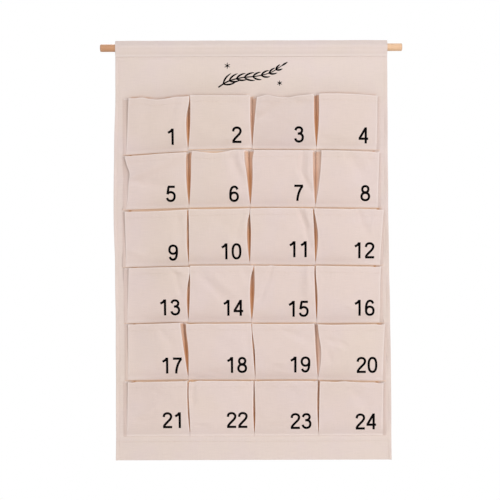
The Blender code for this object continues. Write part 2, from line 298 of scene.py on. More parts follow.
def canvasMaterial(name, colour):
    bench = Bench(bpy.data.materials.new(name))
    flat, lie = bench.onCloth(), bench.onObject()
    weave = weaveOf(bench, flat)
    slubs = bench.noise(flat, canvas["slubAcross"], 3.0), bench.noise(flat, canvas["slubDown"], 3.0)
    slub = slubs[0] * 0.62 + slubs[1] * 0.38
    patches = bench.noise(lie, 14.0, 3.0, 0.55)
    broad = bench.noise(lie, 4.5, 1.0)
    tone = bench.mixColours(patches.between(0.42, 0.66) * canvas["mottle"], colour, canvas["pink"])
    tone = bench.mixColours(broad.between(0.45, 0.7) * canvas["mottle"], tone, canvas["straw"])
    woven = (weave - canvas["weaveMiddle"]) * canvas["weaveTint"]
    shade = 1.0 + woven + (slub - 0.5) * canvas["slubTint"] + bench.attribute("tone")
    grey = bench.node("ShaderNodeCombineColor", {0: shade, 1: shade, 2: shade}, mode="RGB")
    tone = bench.mixColours(1.0, tone, grey["Color"], "MULTIPLY")
    specks = bench.noise(flat, canvas["specks"], 1.0).between(0.735, 0.8)
    tone = bench.mixColours(specks * canvas["speckTint"], tone, canvas["seed"])
    # painted shade: deep in a pleat or behind a mouth the cloth is painted darker and warmer, the colour of
    # the light thrown back by the cloth across from it
    fold = bench.attribute("fold")
    tone = bench.mixColours(fold.between(0.0, 1.0) * canvas["foldTint"], tone, canvas["paintedFoldShade"])
    tone = bench.mixColours((0.0 - fold).between(0.0, 1.0) * canvas["wearAndLightTint"], tone, canvas["wearAndLight"])
    # a glow from 1 to 2 goes over to amber
    glow = bench.attribute("glow")
    tone = bench.mixColours(glow, tone, canvas["glow"])
    tone = bench.mixColours(glow - 1.0, tone, canvas["amber"])
    bench.set("Base Color", tone)
    bench.set("Roughness", canvas["roughness"] + (slub - 0.5) * 0.06)
    bench.set("Sheen Weight", canvas["sheen"])
    bench.set("Sheen Roughness", canvas["sheenRoughness"])
    bench.set("Specular IOR Level", canvas["gloss"])
    bench.bump(0.55, canvas["weaveBump"], weave * 0.6 + slub * 0.8)
    return bench.owner


cotton = {
    "thread": fromScreen(226, 207, 194),
    "light": fromScreen(243, 227, 216),
    "fuzz": fromScreen(212, 190, 172),
    "twist": 0.0007,
    "twistBump": 0.0001,
}


def threadMaterial():
    bench = Bench(bpy.data.materials.new("sewing_thread"))
    lie = bench.onObject()
    parts = bench.axes(lie)
    twist = ((parts["X"] + parts["Z"]) * (2 * math.pi / cotton["twist"])).sine()
    fuzz = bench.noise(lie, 900.0, 2.0)
    tone = bench.mixColours(twist.between(-0.8, 0.9) * 0.5, cotton["thread"], cotton["light"])
    bench.set("Base Color", bench.mixColours(fuzz.between(0.5, 0.7) * 0.3, tone, cotton["fuzz"]))
    bench.set("Roughness", 0.7 + fuzz * 0.15)
    bench.bump(0.6, cotton["twistBump"], twist)
    return bench.owner


printing = {
    "ink": fromScreen(5, 4, 5),
    "thinInk": fromScreen(48, 42, 40),
    "wear": (700.0, 700.0, 1.0),
    "roughness": 0.74,
    "gloss": 0.03,
}


def inkMaterial():
    bench = Bench(bpy.data.materials.new("printed_ink"))
    flat = bench.onCloth()
    weave = weaveOf(bench, flat)
    # the ink is thin where it wears and where the weave is low
    thin = bench.noise(flat, printing["wear"], 3.0, 0.6).between(0.6, 0.78) * (1.0 - weave)
    bench.set("Base Color", bench.mixColours(thin * 0.35, printing["ink"], printing["thinInk"]))
    bench.set("Roughness", printing["roughness"] + weave * 0.14)
    bench.set("Specular IOR Level", printing["gloss"])
    bench.bump(0.5, canvas["weaveBump"], weave)
    return bench.owner


wood = {
    "pale": fromScreen(241, 202, 165),
    "ring": fromScreen(214, 160, 114),
    # painted shade for the dowel's left end
    "leftEndShade": fromScreen(190, 132, 92),
    "pore": fromScreen(164, 108, 70),
    "roughness": 0.5,
    "gloss": 0.35,
    "grainBump": 0.00025,
    "ringStep": 0.0019,
    "heartAt": (-0.01, 0.017),  # the tree's heart off the dowel's axis, in y and z
    "bends": (5.0, 30.0, 30.0),
    "fibres": (22.0, 1500.0, 1500.0),
    "pores": (60.0, 2600.0, 2600.0),
    "leftEndShadeReach": (-0.25, 0.3),  # how far along the dowel it comes in, from right to left
    "endGrain": (0.2985, 0.2996),
}


def woodMaterial():
    bench = Bench(bpy.data.materials.new("sanded_dowel"))
    lie = bench.onObject()
    parts = bench.axes(lie)
    bent = bench.noise(lie, wood["bends"], 2.0)
    side = parts["Y"] - wood["heartAt"][0] + bent * 0.006
    rise = parts["Z"] - wood["heartAt"][1] + bent * 0.004
    reach = (side * side + rise * rise) ** 0.5
    rings = (reach * (2 * math.pi / wood["ringStep"])).sine() * 0.5 + 0.5
    fibre = bench.noise(lie, wood["fibres"], 3.0, 0.6)
    pores = bench.noise(lie, wood["pores"], 1.0).between(0.66, 0.74)
    tone = bench.mixColours(rings ** 2.0 * 0.55, wood["pale"], wood["ring"])
    tone = bench.mixColours(fibre.between(0.45, 0.75) * 0.4, tone, wood["ring"])
    tone = bench.mixColours(pores * 0.5, tone, wood["pore"])
    # painted shade: the dowel darkens towards its left end
    tone = bench.mixColours((0.0 - parts["X"]).between(*wood["leftEndShadeReach"]) * 0.72, tone, wood["leftEndShade"])
    tone = bench.mixColours(parts["X"].size().between(*wood["endGrain"]) * 0.35, tone, wood["pore"])
    bench.set("Base Color", tone)
    bench.set("Roughness", wood["roughness"] + fibre * 0.14)
    bench.set("Specular IOR Level", wood["gloss"])
    bench.bump(0.5, wood["grainBump"], fibre * 0.7 + rings * 0.3 - pores * 0.6)
    return bench.owner


panelCanvas = canvasMaterial("panel_canvas", canvas["panel"])
pocketCanvas = canvasMaterial("pocket_canvas", canvas["pocket"])
thread = threadMaterial()
ink = inkMaterial()
dowelWood = woodMaterial()
print("materials made")


# making cloth: a grid of points for the outer skin gets an inner skin and a rim

def normalsOf(skin):
    normal = np.cross(np.gradient(skin, axis=1), np.gradient(skin, axis=0))
    return normal / np.maximum(np.linalg.norm(normal, axis=2, keepdims=True), 1e-12)


def roundedOff(toEnd, reach, share):
    # share of the thickness to take off each skin near an end of the cloth
    return 0.5 * (1 - np.sqrt(1 - (1 - np.clip(toEnd / reach, 0, 1)) ** 2 * share))


def meshObject(name, points, faces, material, flat=None, smooth=True):
    # points and flat are lists of arrays; flat says where each point lies on the cloth laid out
    mesh = bpy.data.meshes.new(name)
    mesh.from_pydata(np.concatenate(points).tolist(), [], faces)
    if flat is not None:
        corners = np.zeros(len(mesh.loops), np.int32)
        mesh.loops.foreach_get("vertex_index", corners)
        spots = np.concatenate(flat)[corners].astype(np.float32)
        mesh.uv_layers.new(name="clothMap").data.foreach_set("uv", spots.ravel())
    if smooth:
        mesh.shade_smooth()
    mesh.materials.append(material)
    made = bpy.data.objects.new(name, mesh)
    bpy.context.scene.collection.objects.link(made)
    return made


def closedCloth(name, outer, inner, material, flat, marks, soaked=0.0):
    # marks are painted on the outer skin, and show on the inner one as far as they soak through
    rows, columns = outer.shape[:2]
    count = rows * columns
    cell = (np.arange(rows - 1)[:, None] * columns + np.arange(columns - 1)[None, :]).ravel()
    front = np.stack([cell, cell + 1, cell + columns + 1, cell + columns], axis=1)
    low = np.arange(columns)
    left = np.arange(rows) * columns
    high, right = low + (rows - 1) * columns, left + columns - 1
    loop = np.concatenate([low, right[1:], high[::-1][1:], left[::-1][1:-1]])
    after = np.roll(loop, -1)
    rim = np.stack([loop, loop + count, after + count, after], axis=1)
    faces = np.concatenate([front, front[:, ::-1] + count, rim]).tolist()
    skins = [outer.reshape(-1, 3), inner.reshape(-1, 3)]
    made = meshObject(name, skins, faces, material, [flat.reshape(-1, 2)] * 2)
    for key, values in marks.items():
        both = np.concatenate([values.ravel(), soaked * values.ravel()]).astype(np.float32)
        made.data.attributes.new(key, "FLOAT", "POINT").data.foreach_set("value", both)
    return made


def runOf(path):
    # distance along a path of points
    return np.concatenate([[0], np.cumsum(np.linalg.norm(np.diff(path, axis=0), axis=1))])


def pointsAt(places, run, path):
    return np.stack([np.interp(places, run, path[:, k]) for k in range(path.shape[1])], axis=1)


def alongCloth(skin):
    # distance along each row of a skin, from the middle column outwards
    steps = np.linalg.norm(np.diff(skin, axis=1), axis=2)
    run = np.concatenate([np.zeros((len(skin), 1)), np.cumsum(steps, axis=1)], axis=1)
    middle = skin.shape[1] // 2
    return run - run[:, middle:middle + 1] + skin[:, middle:middle + 1, 0]


# where the cloth's edges run

edges = {
    "wander": 0.004,
    "wave": 0.0028,             # how far the free side edges swing forward
    "headerSwell": 0.0014,
    "sideHem": 0.008,
    "bottomHem": 0.038,
    "left": (0.0, 0.0, -0.7, -1.0, -0.3, 0.0, 0.1, 0.1, 0.0),
    "right": (-0.6, -0.6, -0.6, -0.5, -0.2, 0.2, 0.5, 0.5, 0.5),
}
leftSide = cloth["shift"] - cloth["width"] / 2
rightSide = cloth["shift"] + cloth["width"] / 2
stations = [stitchZ, *[firstMouth - row * grid["pitchDown"] for row in range(grid["rows"])],
            lastSeam, bottomEdge]


def alongStations(shares, z):
    z = np.asarray(z, float)
    value = np.full(z.shape, float(shares[0]))
    for n in range(len(stations) - 1):
        share = eased((stations[n] - z) / (stations[n] - stations[n + 1]))
        value = value + (shares[n + 1] - shares[n]) * share
    return value


def leftEdge(z):
    return leftSide + edges["wander"] * alongStations(edges["left"], z)


def rightEdge(z):
    return rightSide + edges["wander"] * alongStations(edges["right"], z)


def toSideEdge(x, z):
    return np.minimum(x - leftEdge(z), rightEdge(z) - x)


def seamLine(row, line):
    middle = cloth["shift"] + (line - grid["columns"] / 2) * grid["pitchAcross"]
    return middle + grid["seamWander"] * grid["seamLines"][row][line]


def panelBow(x, z):
    # how far the panel stands forward of its flat middle
    free = eased(1 - toSideEdge(x, z) / edges["sideHem"])
    phase = 2 * math.pi * (firstMouth - z) / grid["pitchDown"]
    drop = (stitchZ - z) / cloth["header"]
    wave = edges["wave"] * free * eased(drop) * (0.5 - 0.5 * np.cos(phase))
    swell = edges["headerSwell"] * np.sin(math.pi * np.clip(drop, 0, 1)) ** 2
    return wave + swell * (0.5 - 0.5 * np.cos(4 * math.pi * (x - leftSide) / cloth["width"]))


# pockets

pockets = {
    # each row's bottom seam above the next row's mouths
    "seamLift": (0.0023, 0.0015, 0.0006, 0.0, 0.0, 0.0),
    # a seam's own rise at its left and right (mm)
    "seamRise": {2: (0.6, 0.6), 4: (0.4, 1.2), 5: (0.9, 1.2), 6: (0.4, 0.4), 7: (0.6, 0.8), 8: (0.2, 0.6),
                 12: (0.2, 1.0), 16: (0.6, 1.2), 17: (1.6, 0.8), 20: (0.2, 1.5)},
    "mouthDepth": 0.018,
    "seamDepth": 0.0018,
    "crown": 0.1,               # how much less a front's sides stand out than its middle
    "foldRadius": 0.0011,
    "edgeGap": 0.0003,
    "footGap": 0.00003,         # the same at the bottom seam
    "gapRise": 0.05,            # share of the height in which the gap opens
    "radiusShare": 0.75,        # of the depth that is there
    "leastRadius": 0.00005,
    "crease": 0.28,             # inward crease of a pleat, as a share of its depth
    "creaseSoft": 0.22,
    "wallAir": 0.0002,          # between a pleat and the cloth it stands on
    "footSunk": (0.00025, 0.0003),      # end of an outer pleat's foot in the panel: outer, inner skin
    "hem": 0.0135,
    "hemStitch": 0.0125,        # stitch line below the mouth
    "hemThickness": 0.0015,
    "hemSwell": 0.00014,
    "hemSteps": (-0.0012, -0.0003, 0.0004, 0.001, 0.0016),     # rows of points at the hem's edge
    "stitchDent": (0.00018, 0.0012),            # depth, width
    "pucker": (0.00012, 0.009, 0.006),          # depth, pitch, width
    "endRound": 0.0009,
    "slack": 0.00045,           # small waves all over a front
    "slackLength": 0.045,
    "slackSpan": (0.12, 0.11),
    "flatFoot": 0.18,           # share of the height that lies flatter, over the seam
    "edgePlay": 0.01,
    "mouthPlay": 0.01,
    "foldPlay": 2.1,            # all soft folds together
    "foldSpread": (0.75, 1.25),
    "foldEnd": 0.25,            # how far a fold fades out past its ends
    "sewnUp": 0.025,            # share of the height, from the seam up, where neighbours touch
    "seamHalf": 0.0005,
    "wideGap": 0.0085,          # a gap between pockets that takes no light through the cloth
    "narrowUp": (0.35, 0.25),   # where up the height the light comes in: start, length
    "lightUp": (0.45, 0.35),
    "plainLight": 0.2,
    "shadeUp": (0.45, 0.4),
    "shadeLoss": 0.35,
    "narrowLoss": 0.9,
    "outerSeam": 0.0035,
    "foot": 0.005,
    "allowance": 0.0028,        # cloth below the bottom seam
    "lastAllowance": 0.0022,
    "frontCells": 46,
    "upCells": 40,
    "wallCells": 9,
    "foldCells": 4,
    "mouths": (                 # rise of each mouth at its left, middle and right
        (-0.4, -0.6, -0.1), (0.1, 0.02, 0.04), (-0.3, 0.05, 0.25), (0.32, 0.27, -0.08),
        (-0.7, -0.3, 0.0), (0.22, -0.02, 0.5), (0.4, 0.35, 0.3), (0.33, 0.2, 0.0),
        (-0.38, -0.36, -0.05), (0.03, -0.01, 0.19), (0.12, 0.19, 0.05), (0.08, -0.05, -0.1),
        (-0.34, -0.2, -0.12), (0.1, 0.1, 0.1), (0.08, 0.0, -0.05), (0.04, -0.13, -0.2),
        (-0.19, -0.1, 0.1), (-0.1, -0.11, -0.07), (-0.15, -0.2, -0.17), (-0.3, -0.38, -0.33),
        (-0.37, -0.27, -0.14), (-0.14, -0.12, -0.2), (-0.18, -0.13, -0.19), (-0.3, -0.4, -0.64),
    ),
    # side edges off the seam lines: left at the mouth, left half way, right likewise
    "sides": (
        (0.5, 0.25, 0.1, -0.3), (0.4, 0.4, -0.3, -0.3), (0.9, 0.4, -0.45, -0.4),
        (0.4, 0.4, 0.2, 0.2),
        (-0.3, 0.35, -0.45, -0.45), (0.45, 0.35, -1.1, -0.6), (0.25, 0.4, -0.5, -0.4),
        (1.1, 0.8, 0.35, 0.2),
        (-0.3, -0.15, -0.35, -0.35), (0.0, 0.05, -0.1, -0.5), (0.2, 0.2, -0.5, -0.2),
        (-0.15, 0.45, 0.8, 0.4),
        (0.3, 0.15, 0.2, -0.2), (0.45, 0.3, 0.1, -0.3), (0.45, 0.5, -0.5, -0.3),
        (-0.15, 0.1, 0.3, 0.15),
        (0.0, 0.0, -1.35, -0.75), (-0.2, 0.05, -0.8, -0.4), (-0.4, -0.1, -0.7, -0.4),
        (0.0, 0.6, 0.5, 0.25),
        (0.2, 0.1, -0.45, -0.45), (-0.1, -0.1, -0.2, -0.2), (0.15, 0.2, -0.25, -0.25),
        (0.25, 0.05, 0.2, 0.1),
    ),
    # lean of the pleats' feet between the pockets of a row, sideways at the mouth (mm)
    "lean": ((2.5, 0.5, -1.0), (-0.5, -2.4, 0.3), (0.8, 0.0, -1.8),
             (1.8, 1.4, -1.8), (-8.0, -2.4, -4.5), (-1.0, 0.0, 0.0)),
    # how much deeper or paler the painted shade of each row's three gaps is than its width makes it
    "gapShades": ((0.0, -0.25, 0.1), (0.0, 0.0, -0.25), (0.0, 0.0, 0.0),
                 (0.0, 0.0, 0.0), (0.0, 0.0, -0.4), (0.0, 0.0, 0.15)),
    "amber": 0.7,               # how golden the light in a narrow gap is
    # waves of the side edges: side, place up, width up, sideways (mm)
    "edgeWaves": {
        1: ((1, 0.89, 0.19, 3.6),),
        5: ((-1, 0.66, 0.14, 4.2), (1, 1.0, 0.1, 1.2)),
        6: ((-1, 1.0, 0.08, 1.5), (1, 0.8, 0.15, -1.5)),
        7: ((-1, 1.0, 0.11, 4.0),),
        9: ((1, 0.85, 0.3, 1.8),),
        10: ((1, 0.92, 0.14, 2.5),),
        11: ((-1, 0.9, 0.2, -1.8),),
        12: ((-1, 0.89, 0.23, -2.6),),
        13: ((1, 0.86, 0.2, 3.2),),
        14: ((-1, 0.9, 0.15, -1.0), (1, 1.0, 0.16, 3.8)),
        15: ((1, 1.0, 0.12, 0.8),),
        16: ((-1, 0.82, 0.22, -2.2),),
        17: ((1, 0.95, 0.3, -1.2),),
        18: ((-1, 0.87, 0.24, -2.4), (1, 0.9, 0.2, 0.8)),
        19: ((-1, 0.87, 0.26, -2.8),),
        20: ((-1, 0.8, 0.22, -2.8),),
        21: ((1, 0.8, 0.3, 0.8),),
        22: ((-1, 0.76, 0.34, -1.8), (1, 0.86, 0.3, 1.2)),
        23: ((-1, 0.86, 0.34, -1.6), (1, 0.9, 0.25, 0.8)),
        24: ((-1, 0.9, 0.25, -0.8),),
    },
    # tones painted on the cloth: a fold above 0 is painted warm shade, below 0 is paler, as wear and
    # painted light; a shade is painted darker
    "wearAndLight": -0.7,
    "wearAndLightUp": (0.02, 0.1),
    # painted light on the foot of a front, over the mouth that stands out below it
    "paintedFootLight": -0.6,
    "paintedFootLightReach": (0.009, 0.0025),   # usual, last row
    "lastShade": (0.05, 0.3, 0.01),     # amount, fades up to, begins within
    # painted shade on the outer pleats' walls and feet: warm fold tone and darkening
    "outerWallFold": (0.1, 0.2),      # at its front, at its foot
    "outerWallShade": {-1: 0.02, 1: 0.09},
    "outerWallFall": 0.03,
    "footFold": (0.2, 0.1),
    "footShade": {-1: 0.02, 1: 0.08},
    "wallPower": 0.8,
    "wallUp": 0.04,
    "wallLit": 0.3,
    "openMouth": (0.982, 0.012),
    "openLoss": 0.9,
    "nextMouth": (-0.01, 0.01),       # where the allowance goes down behind the next mouth
    "nextGlow": 0.9,
    "dusk": 0.7,
    "usualGlow": 0.85,
    # how far an outer pleat still stands out, as a share of an inner one
    "outerDepth": {1: 0.66, 5: 0.66, 9: 0.46, 13: 0.4, 17: 0.38, 21: 0.42,
                   4: 0.64, 8: 0.55, 12: 0.5, 16: 0.48, 20: 0.5, 24: 0.5},
    "outerReach": 0.75,         # how far across the front that is felt
    # how much darker some fronts are painted
    "tones": {3: -0.04, 21: -0.02, 23: -0.03, 24: -0.03},
    # soft folds of each front: start across and up, end across and up, width, height (mm)
    "folds": {
        1: ((0.88, 0.95, 0.82, 0.25, 10, 0.7), (0.8, 0.75, 0.95, 0.98, 8, 0.4)),
        2: ((0.55, 0.1, 0.98, 0.55, 9, 0.6),),
        3: ((0.02, 0.52, 0.58, 1.0, 11, -1.5), (0.1, 0.95, 0.02, 0.7, 9, 0.8),
            (0.62, 0.95, 0.95, 0.7, 10, -0.5)),
        4: ((0.05, 0.2, 0.5, 0.05, 9, -0.5),),
        5: ((0.03, 0.6, 0.98, 0.98, 11, 1.8), (0.05, 0.52, 0.6, 0.42, 9, -0.9)),
        6: ((0.9, 1.0, 0.96, 0.55, 8, 0.8), (0.74, 0.96, 0.9, 0.48, 10, -1.0)),
        7: ((0.84, 1.0, 0.8, 0.62, 6, -1.7), (0.8, 0.62, 0.99, 0.22, 6, -1.5),
            (0.95, 0.95, 0.93, 0.5, 5, 1.2)),
        8: ((0.42, 1.0, 0.8, 0.45, 12, -1.3), (0.78, 1.0, 0.9, 0.6, 9, -0.9),
            (0.6, 0.98, 0.98, 0.6, 9, 0.6)),
        9: ((0.86, 0.92, 0.9, 0.45, 8, -0.7), (0.0, 0.3, 0.3, 0.18, 7, 0.7)),
        10: ((0.9, 0.85, 0.8, 0.45, 7, -0.9),),
        11: ((0.78, 1.0, 0.88, 0.6, 5, -1.8), (0.87, 0.6, 0.97, 0.22, 5, -1.1),
             (0.89, 1.0, 0.96, 0.65, 4, 1.2)),
        12: ((0.62, 1.0, 0.72, 0.6, 7, -1.6), (0.86, 1.0, 0.84, 0.55, 6, 0.8)),
        13: ((0.76, 0.92, 0.9, 0.5, 5, -0.8), (0.72, 0.98, 0.97, 0.84, 4, 0.8)),
        14: ((0.2, 0.78, 0.62, 0.38, 9, -1.1), (0.34, 0.88, 0.74, 0.48, 8, 0.5),
             (0.82, 1.0, 0.98, 0.72, 6, -0.7)),
        15: ((0.3, 1.0, 0.16, 0.6, 5, -0.9), (0.16, 0.6, 0.06, 0.36, 6, -0.9),
             (0.91, 1.0, 0.9, 0.4, 11, 2.0)),
        16: ((0.45, 0.3, 0.9, 0.12, 7, 0.6),),
        17: ((0.6, 0.9, 0.85, 0.55, 9, -0.5),),
        18: ((0.9, 0.85, 0.94, 0.45, 7, -0.6), (0.3, 0.12, 0.7, 0.08, 7, -0.5)),
        19: ((0.45, 0.9, 0.95, 0.68, 7, -0.7), (0.3, 0.22, 0.62, 0.16, 7, -0.5)),
        20: ((0.1, 0.74, 0.38, 0.62, 6, -0.9), (0.26, 0.66, 0.36, 0.5, 7, 0.7),
             (0.1, 0.52, 0.16, 0.3, 6, -0.7)),
        21: ((0.2, 0.34, 0.56, 0.58, 8, 0.9), (0.1, 0.3, 0.45, 0.26, 7, -0.7),
             (0.45, 0.8, 0.7, 0.72, 7, -0.5)),
        22: ((0.07, 0.95, 0.05, 0.55, 5, -0.9), (0.05, 0.16, 0.3, 0.12, 6, -0.8)),
        23: ((0.2, 0.16, 0.8, 0.12, 9, -0.7), (0.55, 0.85, 0.85, 0.7, 8, -0.4)),
        24: ((0.5, 0.82, 0.78, 0.55, 10, -1.0), (0.6, 0.98, 0.85, 0.85, 7, 0.6)),
    },
    # how much light shows inside a mouth, where it isn't the usual
    "mouthGlow": {5: 0.5, 8: 0.5, 9: 0.45, 10: 0.75, 12: 0.6, 13: 0.4,
                  14: 0.7, 16: 0.5, 17: 0.4, 20: 0.45, 21: 0.55, 24: 0.6},
    # waves of a mouth: place across, width across, rise (mm)
    "mouthWaves": {
        1: ((0.22, 0.1, 2.6), (0.5, 0.14, -1.6), (0.78, 0.1, 1.4)),
        3: ((0.38, 0.14, -1.6), (0.17, 0.09, 2.6), (0.56, 0.17, -4.6), (0.82, 0.12, -1.6)),
        5: ((0.3, 0.2, -0.5),),
        6: ((0.08, 0.05, 0.8), (0.42, 0.12, -1.2), (0.8, 0.13, 2.4), (0.97, 0.05, -1.0)),
        8: ((0.96, 0.04, -1.0),),
        9: ((0.05, 0.05, -0.7),),
        12: ((0.65, 0.06, 0.7), (0.95, 0.04, -1.2)),
        15: ((0.28, 0.05, 0.8), (0.8, 0.1, -0.6)),
        16: ((0.93, 0.05, -1.0),),
        17: ((0.1, 0.08, -0.6),),
        18: ((0.06, 0.06, -0.9), (0.3, 0.08, 0.4)),
        20: ((0.2, 0.1, -0.7), (0.6, 0.15, 0.5), (0.94, 0.04, -1.4)),
        21: ((0.06, 0.05, -1.4), (0.3, 0.12, -0.4)),
        22: ((0.03, 0.08, -2.2), (0.16, 0.05, 0.9)),
        23: ((0.97, 0.03, -1.0), (0.05, 0.05, -0.6)),
        24: ((0.22, 0.08, -0.9), (0.38, 0.08, 0.9), (0.7, 0.14, -0.6), (0.94, 0.05, -1.5)),
    },
}


class Pocket:
    def __init__(self, number):
        self.number = number
        self.row, self.column = divmod(number - 1, grid["columns"])
        self.name = f"pocket_{number:02d}"
        self.mouthZ = firstMouth - self.row * grid["pitchDown"]
        self.mouths = pockets["mouths"][number - 1]
        self.sides = pockets["sides"][number - 1]
        self.isLast = self.row == grid["rows"] - 1
        below = (0, 0, 0) if self.isLast else pockets["mouths"][number - 1 + grid["columns"]]
        self.seams = below[0], below[2]
        self.isOuter = {-1: self.column == 0, 1: self.column == grid["columns"] - 1}

    def seam(self, across):
        low = self.mouthZ - grid["pocketHeight"] + pockets["seamLift"][self.row]
        left, right = pockets["seamRise"].get(self.number, (0.0, 0.0))
        return low + pockets["mouthPlay"] * mixed(*self.seams, across) + mm * mixed(left, right, across)

    def mouth(self, across):
        rise = pockets["mouthPlay"] * through(*self.mouths, across)
        for place, width, height in pockets["mouthWaves"].get(self.number, ()):
            rise = rise + height * mm * hump(across - place, width)
        return self.mouthZ + rise

    def height(self, across, up):
        plain = self.mouthZ + pockets["mouthPlay"] * through(*self.mouths, across)
        waves = self.mouth(across) - plain
        return mixed(self.seam(across), plain, up) + waves * np.clip(up, 0, 1) ** 4

    def edge(self, side, up):
        up = np.clip((up - pockets["sewnUp"]) / (1 - pockets["sewnUp"]), 0, 1)
        atMouth, halfWay = self.sides[:2] if side < 0 else self.sides[2:]
        gap = pockets["edgeGap"] * eased(up / pockets["gapRise"]) + pockets["footGap"]
        line = seamLine(self.row, self.column + (side > 0)) - side * gap
        for way, place, width, shift in pockets["edgeWaves"].get(self.number, ()):
            if way == side:
                line = line + shift * mm * hump(up - place, width)
        return line + pockets["edgePlay"] * through(0, halfWay, atMouth, up)

    def panelSeam(self, side, up=0.0):
        line = seamLine(self.row, self.column + (side > 0))
        if self.isOuter[side]:
            return line + side * pockets["outerSeam"]
        lean = pockets["lean"][self.row][self.column - (side < 0)] * mm
        return line + lean * np.clip(up, 0, 1) - side * pockets["seamHalf"]

    def narrow(self, side, up):
        # 1 where the gap to the next pocket is narrow, 0 where it is wide or there is none
        if self.isOuter[side]:
            return 0 * up
        gap = side * (allPockets[self.number - 1 + side].edge(-side, up) - self.edge(side, up))
        return falling(gap, pockets["wideGap"], pockets["wideGap"]) * rising(up, *pockets["narrowUp"])

    def gapTone(self, side):
        return 0.0 if self.isOuter[side] else pockets["gapShades"][self.row][self.column - (side < 0)]

    def lit(self, side, up):
        # how much warm light comes through the cloth of the pleats
        light = np.maximum(self.narrow(side, up), pockets["plainLight"] * rising(up, *pockets["lightUp"]))
        return light * (1 - max(self.gapTone(side), 0.0)) + pockets["amber"] * light ** 4

    def shade(self, side, up):
        # how deep the tone between two pleats is: deepest low down, where the light doesn't reach
        plain = 1 - pockets["narrowLoss"] * self.narrow(side, up)
        plain = plain * (1 - pockets["shadeLoss"] * rising(up, *pockets["shadeUp"]))
        change = self.gapTone(side)
        return mixed(plain, 1.0, min(2 * change, 1.0)) if change > 0 else plain * (1 + change)

    def relief(self, across, up):
        # soft folds, a little slackness everywhere, and the hem's own swell
        spanAcross, spanUp = pockets["slackSpan"]
        total = ripple(self.number, across * spanAcross, up * spanUp, pockets["slackLength"])
        total = total * pockets["slack"]
        wide, tall = grid["pitchAcross"], grid["pocketHeight"]
        for a0, u0, a1, u1, width, height in pockets["folds"].get(self.number, ()):
            startX, startZ, runX, runZ = a0 * wide, u0 * tall, (a1 - a0) * wide, (u1 - u0) * tall
            long = math.hypot(runX, runZ)
            x, z = across * wide - startX, up * tall - startZ
            along = (x * runX + z * runZ) / long ** 2
            off = (x * runZ - z * runX) / long
            spread = width * mm * mixed(*pockets["foldSpread"], np.clip(along, 0, 1))
            end = pockets["foldEnd"]
            ends = rising(along, -end, 2 * end) * falling(along, 1 + end, 2 * end)
            total = total + pockets["foldPlay"] * height * mm * hump(off, spread) * ends
        below = (1 - up) * tall
        toStitch = below - pockets["hemStitch"]
        dent, dentWidth = pockets["stitchDent"]
        pucker, pitch, puckerWidth = pockets["pucker"]
        total = total + pockets["hemSwell"] * falling(below, pockets["hem"] + 0.001, 0.003)
        total = total - dent * hump(toStitch, dentWidth)
        total = total + pucker * np.sin(across * wide * 2 * math.pi / pitch) * hump(toStitch, puckerWidth)
        return total * eased(up / pockets["flatFoot"])

    def depth(self, across, up):
        up = np.clip(up, 0, 1)
        crown = 1 - pockets["crown"] * (2 * across - 1) ** 2
        kept = pockets["outerDepth"].get(self.number, 1.0)
        fromOuter = across if self.isOuter[-1] else 1 - across
        crown = crown * mixed(kept, 1.0, eased(fromOuter / pockets["outerReach"]))
        plain = pockets["seamDepth"] + (pockets["mouthDepth"] - pockets["seamDepth"]) * crown * up
        return plain + self.relief(across, up)

    def radius(self, side, up):
        room = self.depth(0.5 + side / 2, up) - pockets["seamDepth"]
        fitting = pockets["radiusShare"] * np.clip(room, 0, 1) + pockets["leastRadius"]
        return np.minimum(pockets["foldRadius"], fitting)

    def span(self, up):
        # where the flat of the front begins and ends
        return self.edge(-1, up) + self.radius(-1, up), self.edge(1, up) - self.radius(1, up)

    def point(self, zone, share, up):
        # outer skin of the strip at heights up. A share runs from the front outwards, and
        # across the front from left to right
        if zone == "front":
            return mixed(*self.span(up), share), -self.depth(share, up), self.height(share, up)
        side = sideOf(zone)
        across = 0.5 + side / 2
        radius, depth = self.radius(side, up), self.depth(across, up)
        edge, seam, height = self.edge(side, up), self.panelSeam(side, up), self.height(across, up)
        turn = share * math.pi / 2
        if zone.startswith("fold"):
            x, y = edge - side * radius * (1 - math.sin(turn)), -depth + radius * (1 - math.cos(turn))
            return x, y, height
        rest = seatY - (cloth["thickness"] if self.isOuter[side] else pockets["wallAir"])
        start = -depth + radius
        if zone.startswith("foot"):
            y = mixed(rest, panelFront + pockets["footSunk"][0], eased(share))
            return seam + side * share * pockets["foot"] + 0 * up, y + 0 * up, height
        if self.isOuter[side]:
            return mixed(edge, seam, 1 - math.cos(turn)), mixed(start, rest, math.sin(turn)), height
        soft = pockets["creaseSoft"]
        far = math.sqrt(1 + soft ** 2)
        bend = (far - np.sqrt((2 * share - 1) ** 2 + soft ** 2)) / (far - soft)
        crease = pockets["crease"] * np.clip(rest - start, 0, 1) * bend
        return mixed(edge, seam, share) - side * crease, mixed(start, rest, share), height

    def columns(self, fine=1):
        def shares(cells):
            return [n / (cells * fine) for n in range(1, cells * fine + 1)]

        line = [("front", share) for share in (0.0, *shares(pockets["frontCells"]))]
        for side, word in ((-1, "Left"), (1, "Right")):
            tail = [("fold" + word, share) for share in shares(pockets["foldCells"])]
            tail += [("wall" + word, share) for share in shares(pockets["wallCells"])]
            if self.isOuter[side]:
                tail += [("foot" + word, n / 4) for n in (1, 2, 3, 4)]
            line = tail[::-1] + line if side < 0 else line + tail
        return line

    def skin(self, ups, columns):
        ups = np.asarray(ups, float)
        lines = [np.stack(self.point(zone, share, ups), axis=1) for zone, share in columns]
        return np.stack(lines, axis=1)

    def frontAt(self, x, z):
